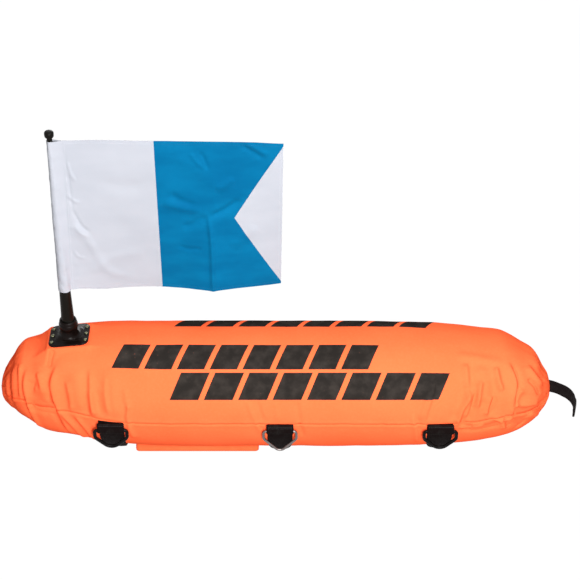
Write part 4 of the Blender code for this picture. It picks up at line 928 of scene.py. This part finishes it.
def belly_pocket():
    """Flat cloth pocket: a puffed floor, rounded edges, drawn-in sides and a hem sewn to the cover."""
    middle = np.zeros(POCKET_SIDES)
    rows = [stacked(POCKET_X, middle, 0.0002)]
    rings = [(0.04275, 0.0002), (0.035625, 0.0003), (0.02375, 0.0003), (0.011875, 0.0002), (0.0075, 0.0001),
             (0.0012, 0.0001), (0.0004, 0.0004), (0.0, 0.0012), (0.0, 0.004), (0.0002, 0.007)]
    for inset, height in rings:
        x, y = pocket_ring(inset, max(0.005 - inset * 0.1, 0.003))
        if height > 0.001:
            run = np.arange(POCKET_SIDES) / POCKET_SIDES * 61
            y = y * (1 + 0.0006 * value_noise(run, run * 0 + height * 300, 21, 61) / 0.049)
        rows.append(stacked(x, y, height))
    for inset, corner, lift in ((0.0008, 0.00492, 0.0007), (-0.004, 0.010, 0.0007), (-0.0052, 0.010, 0.0009),
                                (-0.0052, 0.010, 0.0002), (-0.004, 0.010, 0.0001)):
        x, y = pocket_ring(inset, corner)
        rows.append(stacked(x, y, belly_underside(x, y) - lift))
    rows.append(stacked(POCKET_X, middle, POCKET_DEPTH))
    points = np.array(rows)
    uv = stacked(points[..., 0] - LEFT_TIP, -0.15 - points[..., 1] - points[..., 2])
    make_piece("belly_pocket", ORANGE, "orange_cover", points,
               quads(len(rows), POCKET_SIDES, False, True), uv, "ballast_pocket")


belly_pocket()


# Mast socket, mast and knob

UPRIGHT = (0, 0, 1)
FOOT = SEAT_AT_MAST + 0.0036
PLATE_TOP = GAP + PLATE_WALL
SHOULDER, MAST_TOP = 0.081, 0.3525
MAST_LINE = np.array([(0.0, 0.0091), (0.0006, 0.0096), (0.0345, 0.0096), (0.040, 0.0094), (0.062, 0.0088),
                      (SHOULDER, 0.0083), (MAST_TOP, 0.0037)])


def plate_line(turn, length, width, corner):
    """Distance from the centre of a rounded rectangle to its outline, for each direction."""
    across, up = np.abs(np.cos(turn)), np.abs(np.sin(turn))
    reach = 0.5 / np.maximum(across / length, up / width)
    x, y = length / 2 - corner, width / 2 - corner
    along, side = x * across + y * up, x * up - y * across
    arc = along + np.sqrt(np.maximum(corner ** 2 - side ** 2, 0.0))
    return np.where((reach * across > x) & (reach * up > y), arc, reach)


def socket():
    """Moulded socket: a tilted plate and plateau, then a waisted boss with a bulging rim and its bore."""
    turn = np.linspace(0.0, 2 * np.pi, 144, endpoint=False)
    rows = []
    plate = ((0.0012, 0.0003), (0.0003, 0.0006), (0.0, 0.0013), (0.0, 0.0022), (0.0004, 0.0029),
             (0.0012, 0.0031), (0.0088, 0.0031), (0.0094, 0.0033), (0.0098, 0.0037), (0.0104, 0.0039),
             (0.0112, 0.0040))
    for inset, lift in plate:
        corner = max(PLATE_CORNER + 0.0015 - 0.4 * inset, 0.003)
        reach = plate_line(turn, PLATE_LENGTH - 2 * inset, PLATE_WIDTH - 2 * inset, corner)
        x = MAST_X + reach * np.cos(turn)
        rows.append(stacked(x, reach * np.sin(turn), seat_height(x) + lift))
    boss = ((0.0160, 0.0022), (0.0148, 0.0032), (0.0140, 0.0048), (0.0134, 0.0075), (0.0131, 0.0105),
            (0.0131, 0.0135), (0.0134, 0.0150), (0.0140, 0.0170), (0.0143, 0.0196), (0.0141, 0.0222),
            (0.0136, 0.0240), (0.0131, 0.0248), (0.0131, 0.0258), (0.0129, 0.0275), (0.0124, 0.0290),
            (0.0115, 0.0298), (0.0106, 0.0296), (0.0100, 0.0289), (0.0100, 0.0120), (0.0100, 0.0005))
    for radius, height in boss:
        rows.append(stacked(MAST_X + radius * np.cos(turn), radius * np.sin(turn),
                            SEAT_AT_MAST + PLATE_TOP + height))
    points = np.array(rows)
    make_piece("moulded_socket", SOCKET_PLASTIC, "black_plastic", points, tube(points), None,
               "mast_socket", sharp=62)


def rivets():
    """Six domed rivets with a small dimple, each tilted with the plate."""
    dome = [(0.0015, -0.004), (0.0015, 0.0), (0.0028, 0.0), (0.0029, 0.0003), (0.0026, 0.0008),
            (0.0018, 0.0012), (0.0010, 0.0013), (0.0006, 0.0010), (0.0001, 0.0009)]
    for index in range(1, 7):
        low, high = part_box(f"socket_rivet_{index}")
        x, y = (low[0] + high[0]) / 2, (low[1] + high[1]) / 2
        lathe(f"rivet_{index}", RIVET, "steel", f"socket_rivet_{index}", dome,
              (x, y, seat_height(x) + PLATE_TOP + 0.0002), (-PLATE_SLOPE, 0.0, 1.0), 28, 50)


def pole():
    """Tapered pole turned from its profile, with a moulding line down each side."""
    heights = np.concatenate([[0.0, 0.0006], np.linspace(0.0025, 0.3520, 120), [MAST_TOP]])
    points = turned(stacked(np.interp(heights, *MAST_LINE.T), heights), (MAST_X, 0.0, FOOT), UPRIGHT, 64)
    centre = points.mean(axis=1, keepdims=True)
    points = centre + (points - centre) * (1 + 0.012 * (np.arange(64) % 32 == 8))[None, :, None]
    make_piece("mast_pole", MAST_PLASTIC, "black_plastic", points, tube(points), None, "mast", 70, "mast")


def knob():
    """Round-shouldered knob with a collar, hollow where the pole's neck goes in."""
    line = [(0.0004, 0.0064), (0.0041, 0.0064), (0.0042, 0.0), (0.0050, 0.0002), (0.0056, 0.0008),
            (0.0063, 0.0019), (0.0066, 0.0032), (0.0067, 0.0066), (0.0065, 0.0080), (0.0057, 0.0092),
            (0.0044, 0.0099), (0.0023, 0.0102), (0.0004, 0.0102)]
    lathe("mast_knob", MAST_PLASTIC, "black_plastic", "mast_tip", line,
          (MAST_X, 0.0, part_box("mast_tip")[0][2]), UPRIGHT, 56, 55, body="mast")


socket()
rivets()
pole()
knob()


# Flag

FLAG_BOTTOM = FOOT + SHOULDER
FLAG_LENGTH, FLAG_HEIGHT, CLOTH = 0.3053, 0.2603, 0.0005
PANEL_END, NOTCH_DEPTH, NOTCH_FROM_EDGE = 0.1426, 0.068, 0.0045
SLEEVE_FLARE, SLEEVE_ROOM, SLEEVE_HEM = 0.0068, 0.00035, 0.007
FLY_GATHER, FLY_DROP = 0.0045, 0.0047
CREASE_AT, CREASE_SWAY, FLY_SWAY = 0.68, 0.014, 0.021

# Folds: height towards the viewer in mm, half width in mm, and the line in (mm from the mast, share up).
FLAG_FOLDS = (
    (-0.9, 2.0, ((16, .99), (16.5, .93), (18, .88), (21, .80))),
    (0.9, 2.2, ((21, .87), (24, .80), (30, .74))),
    (-0.8, 1.8, ((21, .80), (21.5, .68), (22.5, .56))),
    (0.8, 2.2, ((17, .66), (24, .62), (34, .60))),
    (-1.0, 2.4, ((22, .56), (27, .50), (34, .44), (44, .40))),
    (0.9, 2.8, ((23, .46), (31, .40), (42, .37))),
    (0.7, 2.2, ((19, .27), (25, .23), (34, .22))),
    (1.2, 7.0, ((14.4, .477), (27.3, .41), (42.8, .322), (55.1, .205), (68.2, .122), (96.7, .08))),
    (-1.6, 4.0, ((261.6, .98), (278, .942), (294.4, .892))),
    (1.2, 4.5, ((270, .985), (286, .955), (302, .915))),
    (2.6, 3.4, ((215, .52), (217.5, .356), (218, .18), (217.3, -.02))),
    (-3.2, 5.5, ((262, .625), (246, .575), (230, .535), (216, .51))),
    (-2.0, 6.0, ((214, .505), (204, .49), (192, .455), (176, .43))),
    (2.0, 7.0, ((150, .60), (182, .565), (206, .556))),
    (-1.8, 6.0, ((160, .66), (178, .61), (196, .585))),
    (1.1, 3.2, ((192, .93), (200, .88), (211, .83))),
    (-1.4, 3.0, ((206, .935), (212, .88), (216, .82))),
    (1.5, 6.0, ((226, .70), (238, .72), (252, .77))),
    (-1.2, 4.0, ((168, .30), (186, .285), (204, .29))),
    (-1.0, 12.0, ((60, .75), (90, .70), (125, .72))),
    (1.2, 14.0, ((150, .93), (190, .86), (232, .72), (262, .685))),
    (1.2, 10.0, ((244, .30), (262, .36), (285, .44))),
    (0.8, 9.0, ((40, .12), (75, .22), (120, .25))),
)


def sleeve_radius(up):
    return np.interp(SHOULDER + FLAG_HEIGHT * up, *MAST_LINE.T) + SLEEVE_ROOM + CLOTH / 2


def sleeve_stitch(up):
    return sleeve_radius(0.0) + CLOTH + SLEEVE_FLARE * up


def fly_edge(up):
    return sleeve_stitch(1.0) + FLAG_LENGTH - FLY_GATHER * (1.0 - up)


def flag_relief(distance, up):
    """Sum of exp(-(d / w)^2) over the fold lines, and slow waves, in metres towards the viewer."""
    x, y = distance / MM, up * FLAG_HEIGHT / MM
    relief = 0.45 * value_noise(x / 42, y / 60, 31) + 0.2 * value_noise(x / 16, y / 22, 32)
    relief = relief + 0.30 * np.exp(-((x - 16) / 7) ** 2) * value_noise(x / 9, y / 6, 33)
    for height, width, line in FLAG_FOLDS:
        gap, _, at = nearest(curve_through(np.array(line) * (1.0, FLAG_HEIGHT / MM), 24), x, y)
        relief = relief + height * smooth(np.minimum(at, 1 - at) / 0.3 + 0.25) * np.exp(-(gap / width) ** 2)
    return relief * MM


def flag_point(distance, up):
    """A point of the cloth, which swings back below, comes forward to a crease and swings back at the fly."""
    distance, up = np.broadcast_arrays(distance, up)
    stitch = sleeve_stitch(up)
    share = (distance - stitch) / (fly_edge(up) - stitch)
    z = FLAG_BOTTOM + FLAG_HEIGHT * up + share * (FLY_GATHER * (1.0 - up) - FLY_DROP * up)
    open_cloth = smooth((distance - 0.014) / 0.05)
    z = z + (1.0 - up) ** 2 * (0.0036 - 0.0062 * open_cloth - 0.0022 * smooth((share - 0.7) / 0.3))
    z = z + up ** 2 * 0.0018 * open_cloth * smooth((1.0 - share) / 0.15)
    sway = CREASE_SWAY * np.sin(math.pi * np.clip(share / CREASE_AT, 0.0, 1.0))
    sway = sway + FLY_SWAY * np.clip((share - CREASE_AT) / (1.0 - CREASE_AT), 0.0, 1.0)
    y = sway * (1.0 - up) ** 1.4 - (CLOTH + GAP) / 2
    y = y - flag_relief(distance, up) * smooth((distance - stitch) / 0.006)
    return stacked(MAST_X + distance, y, z)


def cloth_piece(name, node, middle, along, finish, slot):
    """A thin solid to both sides of a grid of points, closed at its edges; along is its u."""
    normal = unit(np.cross(np.gradient(middle, axis=0), np.gradient(middle, axis=1)))
    rows, columns = middle.shape[:2]
    count = rows * columns
    points = np.array([middle + normal * CLOTH / 2, middle - normal * CLOTH / 2])
    grid = np.arange(count).reshape(rows, columns)
    border = np.concatenate([grid[0], grid[1:, -1], grid[-1, -2::-1], grid[-2:0:-1, 0]])
    rim = np.stack([border, np.roll(border, -1), np.roll(border, -1) + count, border + count], axis=-1)
    faces = np.concatenate([quads(rows, columns), quads(rows, columns, start=count), rim])
    uv = np.tile(stacked(along, middle[..., 2]).reshape(-1, 2), (2, 1))
    return make_piece(name, finish, slot, points, faces, uv, node, 60, "flag")


def notch_line(up):
    half = 0.5 - NOTCH_FROM_EDGE / FLAG_HEIGHT
    return fly_edge(up) - NOTCH_DEPTH * np.clip(1.0 - np.abs(up - 0.5) / half, 0.0, 1.0)


def hoist_panel():
    """White panel: a front, a drop-shaped sleeve round the mast, and a hem sewn behind."""
    rows = []
    for up in np.linspace(0.0, 1.0, 131):
        stitch, radius = sleeve_stitch(up), sleeve_radius(up)
        front = flag_point(stitch + (PANEL_END - stitch) * np.linspace(1.0, 0.0, 84), up)
        touch = math.acos(radius / stitch)
        turn = np.linspace(touch, 2 * math.pi - touch, 44)
        slack = 1 + 0.03 * value_noise(turn * 1.1, np.full(44, up * 9.0), 41)
        slack = (slack + 0.05 * value_noise(turn * 1.6, np.full(44, up * 34.0), 42)) * radius
        loop = stacked(MAST_X + slack * np.cos(turn), -slack * np.sin(turn), front[-1, 2])
        hem = flag_point(stitch + SLEEVE_HEM * np.linspace(0.0, 1.0, 8), up)
        hem[:, 1] += CLOTH * 1.25
        rows.append(np.concatenate([front, loop, hem]))
    middle = np.array(rows)
    run = np.array([run_along(row) for row in rows])
    piece = cloth_piece("flag_hoist_cloth", "flag_hoist_panel", middle, run, WHITE_FLAG, "white_cloth")


def outer_panel(name, node, up, start, end, columns, finish, slot):
    """A panel of the open cloth between two edges, each given as distances at the heights up."""
    distance = start + (end - start) * np.linspace(0.0, 1.0, columns)
    middle = flag_point(distance, up)
    piece = cloth_piece(name, node, middle, distance, finish, slot)


def blue_panel():
    corner = NOTCH_FROM_EDGE / FLAG_HEIGHT
    up = np.sort(np.concatenate([np.linspace(0.0, 1.0, 151), [corner, 1 - corner]]))[:, None]
    outer_panel("flag_blue_cloth", "flag_blue_panel", up, PANEL_END + 0.0001, notch_line(up), 131,
                BLUE_FLAG, "blue_cloth")


def fly_panel():
    corner = NOTCH_FROM_EDGE / FLAG_HEIGHT + 0.01
    up = np.linspace(corner, 1.0 - corner, 121)[:, None]
    outer_panel("flag_fly_cloth", "flag_fly_panel", up, notch_line(up) + 0.00015, fly_edge(up), 41,
                WHITE_FLAG, "white_cloth")


def flag_stitches(name, distance, up, finish, hem=0.0):
    """Stitches on both faces of the flag along a line of (distance, up); a hem lifts those on its back."""
    line = flag_point(distance, up)
    at = np.arange(0.0016, run_along(line)[-1], 0.0032)
    spots = at_lengths(line, at)
    along = unit(at_lengths(line, at + 0.0005) - spots + 1e-9)
    rise = CLOTH / 2 + 0.0001
    points = np.concatenate([spots - (0.0, rise, 0.0), spots + (0.0, rise + hem, 0.0)])
    normals = np.repeat([(0.0, -1.0, 0.0), (0.0, 1.0, 0.0)], len(spots), axis=0)
    sew(name, finish, "white_cloth", points, normals, np.tile(along, (2, 1)), 0.0022, 0.00016, "flag")


hoist_panel()
blue_panel()
fly_panel()
tall, fly, wide = np.linspace(0.004, 0.996, 200), np.linspace(0.045, 0.955, 200), np.linspace(0.0, 1.0, 240)
flag_stitches("stitches_sleeve", sleeve_stitch(tall) + 0.0035, tall, THREAD_WHITE, 0.0006)
flag_stitches("stitches_join", PANEL_END - 0.0022, tall, THREAD_WHITE)
for name, up in (("top", 0.981), ("bottom", 0.019)):
    flag_stitches("stitches_white_" + name, 0.018 + (PANEL_END - 0.020) * wide, up, THREAD_WHITE)
    flag_stitches("stitches_blue_" + name, PANEL_END + 0.002 + (fly_edge(up) - PANEL_END - 0.006) * wide, up,
                  THREAD_BLUE)
flag_stitches("stitches_fly", fly_edge(fly) - 0.0042, fly, THREAD_WHITE)


# Towing tail

TOW_WIDTH, TOW_REACH, TOW_FALL, TOW_HEIGHT = 0.0285, 0.0428, 0.0613, 0.091
# Shares of the tail's reach outwards and of its fall.
TOW_ROUTE = ((-.45, -.02), (-.2, -.03), (0, 0.0), (.20, .050), (.40, .125), (.56, .19), (.70, .27),
             (.82, .37), (.912, .50), (.965, .66), (.98, .83))


def tow_tail():
    """Webbing sewn into the right tip: out of the seam, drooping and turning a little, with a doubled end."""
    route = np.array(TOW_ROUTE) * (TOW_REACH, -TOW_FALL) + (LEFT_TIP + BODY_LENGTH + 0.0018, TOW_HEIGHT)
    line = curve_through(route, 120)
    path = stacked(line[:, 0], 0.0, line[:, 1])
    run = run_along(path)
    along = unit(np.gradient(path, axis=0))
    normal = stacked(-along[:, 2], 0.0, along[:, 0])
    twist = np.radians(14.0) * smooth((run - 0.02) / (run[-1] - 0.02))[:, None]
    across = np.array([0.0, 1.0, 0.0]) * np.cos(twist) + normal * np.sin(twist)
    from_end = run[-1] - run
    wall = WEBBING_WALL + 0.0017 * smooth((0.0145 - from_end) / 0.002)
    make_piece("tow_tail", WEBBING, "black_webbing", *band(path, across, TOW_WIDTH, wall), "tow_strap",
               sharp=70)
    index = int(np.argmin(np.abs(from_end - 0.0115)))
    face = unit(np.cross(along[index], across[index]))
    spots = path[index] + across[index] * np.linspace(-0.0115, 0.0115, 9)[:, None]
    points = np.concatenate([spots - face * 0.0018, spots + face * 0.0018])
    sew("tow_tail_stitches", THREAD_GREY, "black_webbing", points,
        np.repeat([-face, face], len(spots), axis=0), across[index], 0.0020, 0.00022)


tow_tail()


# Inflation valve

VALVE_FOOT = np.array([0.27872, 0.0854, 0.1231])
VALVE_AXIS = unit(np.array([0.1646, 0.9433, 0.2882]))
PLUG_SEAT = 0.0093


def valve():
    """Tube with a rolled lip, a metal eyelet in the cover and a stopper with a grip ring."""
    tube_line = [(0.0044, -0.006), (0.0120, -0.006), (0.0120, -0.0045), (0.0070, -0.0042), (0.0070, 0.0062),
                 (0.0074, 0.0070), (0.0074, 0.0080), (0.0071, 0.0088), (0.0064, 0.0090), (0.0048, 0.0090),
                 (0.0044, 0.0086)]
    lathe("valve_tube", VINYL, "grey_vinyl", "valve_body", tube_line, VALVE_FOOT, VALVE_AXIS, 48,
          50, True)
    eyelet = [(0.0080, -0.002), (0.0086, 0.0006), (0.0095, 0.0014), (0.0110, 0.0016), (0.0124, 0.0010),
              (0.0130, 0.0001), (0.0128, -0.0008), (0.0100, -0.0008), (0.0088, -0.002)]
    lathe("valve_ring", RIVET, "steel", "valve_eyelet", eyelet, VALVE_FOOT, VALVE_AXIS, 56,
          closed=True)
    plug = [(0.0030, -0.0090), (0.0038, -0.0080), (0.0040, -0.0060), (0.0040, 0.0), (0.0074, 0.0),
            (0.0080, 0.0005), (0.0080, 0.0014), (0.0074, 0.0019), (0.0060, 0.0020), (0.0052, 0.0014),
            (0.0030, 0.0015), (0.0022, 0.0024), (0.0004, 0.0026)]
    lathe("valve_stopper", VINYL, "grey_vinyl", "valve_plug", plug,
          VALVE_FOOT + VALVE_AXIS * PLUG_SEAT, VALVE_AXIS, 48, 50, body="valve_plug")


valve()


# Floor, light and camera

def white_when_seen(tree, output, lit, white, share):
    """Sends lit to an output, and a share of white in its place to camera, mirror and glass rays."""
    path = tree.nodes.new("ShaderNodeLightPath")
    seen = path.outputs["Is Camera Ray"]
    for ray in ("Is Glossy Ray", "Is Transmission Ray", None):
        step = tree.nodes.new("ShaderNodeMath")
        step.operation = "MAXIMUM" if ray else "MULTIPLY"
        tree.links.new(seen, step.inputs[0])
        if ray:
            tree.links.new(path.outputs[ray], step.inputs[1])
        else:
            step.inputs[1].default_value = share
        seen = step.outputs[0]
    mix = tree.nodes.new("ShaderNodeMixShader")
    for place, socket in enumerate((seen, lit.outputs[0], white.outputs[0])):
        tree.links.new(socket, mix.inputs[place])
    tree.links.new(mix.outputs[0], tree.nodes[output].inputs["Surface"])


def studio_floor():
    """Wide round floor: matt and dark grey for the light, close to white for the eye, shadow kept."""
    turn = np.linspace(0.0, 2 * np.pi, 96, endpoint=False)
    points = stacked(30 * np.cos(turn), 30 * np.sin(turn), -0.0004)
    finish = bpy.data.materials.new("studio_floor")
    finish.use_nodes = True
    tree = finish.node_tree
    shader = tree.nodes["Principled BSDF"]
    shader.inputs["Base Color"].default_value = (0.12, 0.12, 0.12, 1.0)
    shader.inputs["Roughness"].default_value = 1.0
    shader.inputs["Specular IOR Level"].default_value = 0.0
    glow = tree.nodes.new("ShaderNodeEmission")
    glow.inputs["Strength"].default_value = 1.14
    white_when_seen(tree, "Material Output", shader, glow, 0.88)
    mesh = bpy.data.meshes.new("studio_floor")
    mesh.from_pydata(points.tolist(), [], [list(range(96))])
    mesh.materials.append(finish)
    floor = bpy.data.objects.new("studio_floor", mesh)
    bpy.context.collection.objects.link(floor)


def studio_world():
    """Even grey light from all round, seen as white."""
    world = bpy.data.worlds.new("studio")
    bpy.context.scene.world = world
    world.use_nodes = True
    soft, white = world.node_tree.nodes["Background"], world.node_tree.nodes.new("ShaderNodeBackground")
    for node, strength in ((soft, 0.04), (white, 1.0)):
        node.inputs["Color"].default_value = (1.0, 1.0, 1.0, 1.0)
        node.inputs["Strength"].default_value = strength
    white_when_seen(world.node_tree, "World Output", soft, white, 1.0)


def soft_box(name, place, target, size, energy):
    """Rectangular lamp at a place, turned to a target."""
    light = bpy.data.lights.new(name, "AREA")
    light.shape, light.size, light.size_y, light.energy = "RECTANGLE", size[0], size[1], energy
    lamp = bpy.data.objects.new(name, light)
    bpy.context.collection.objects.link(lamp)
    ahead = unit(np.array(target, float) - np.array(place, float))
    lamp.location = place
    lamp.rotation_euler = (math.acos(-ahead[2]), 0.0, math.atan2(ahead[1], ahead[0]) - math.pi / 2)
    lamp.visible_camera = False


def studio_camera():
    """The photograph's view: 37.3 degrees down through a long lens."""
    lens = bpy.data.cameras.new("camera")
    lens.sensor_width, lens.lens = 36.0, 103.97
    camera = bpy.data.objects.new("camera", lens)
    camera.location = (-0.0039, -1.9551, 1.7655)
    camera.rotation_euler = (math.radians(52.7), 0.0, 0.0)
    bpy.context.collection.objects.link(camera)
    bpy.context.scene.camera = camera


studio_floor()
studio_world()
soft_box("key_lamp", (0.35, -2.2, 1.5), (0.0, 0.0, 0.12), (0.5, 0.8), 68.0)
soft_box("top_lamp", (0.24, -0.47, 2.1), (0.24, -0.47, 0.1), (1.3, 0.8), 25.0)
soft_box("low_lamp", (0.3, -2.4, 0.70), (0.0, 0.0, 0.1), (1.1, 0.7), 24.0)
soft_box("back_lamp", (-0.2, 2.5, 0.75), (0.0, 0.0, 0.25), (1.3, 0.8), 36.0)
studio_camera()
bpy.context.scene.view_settings.view_transform = "Standard"
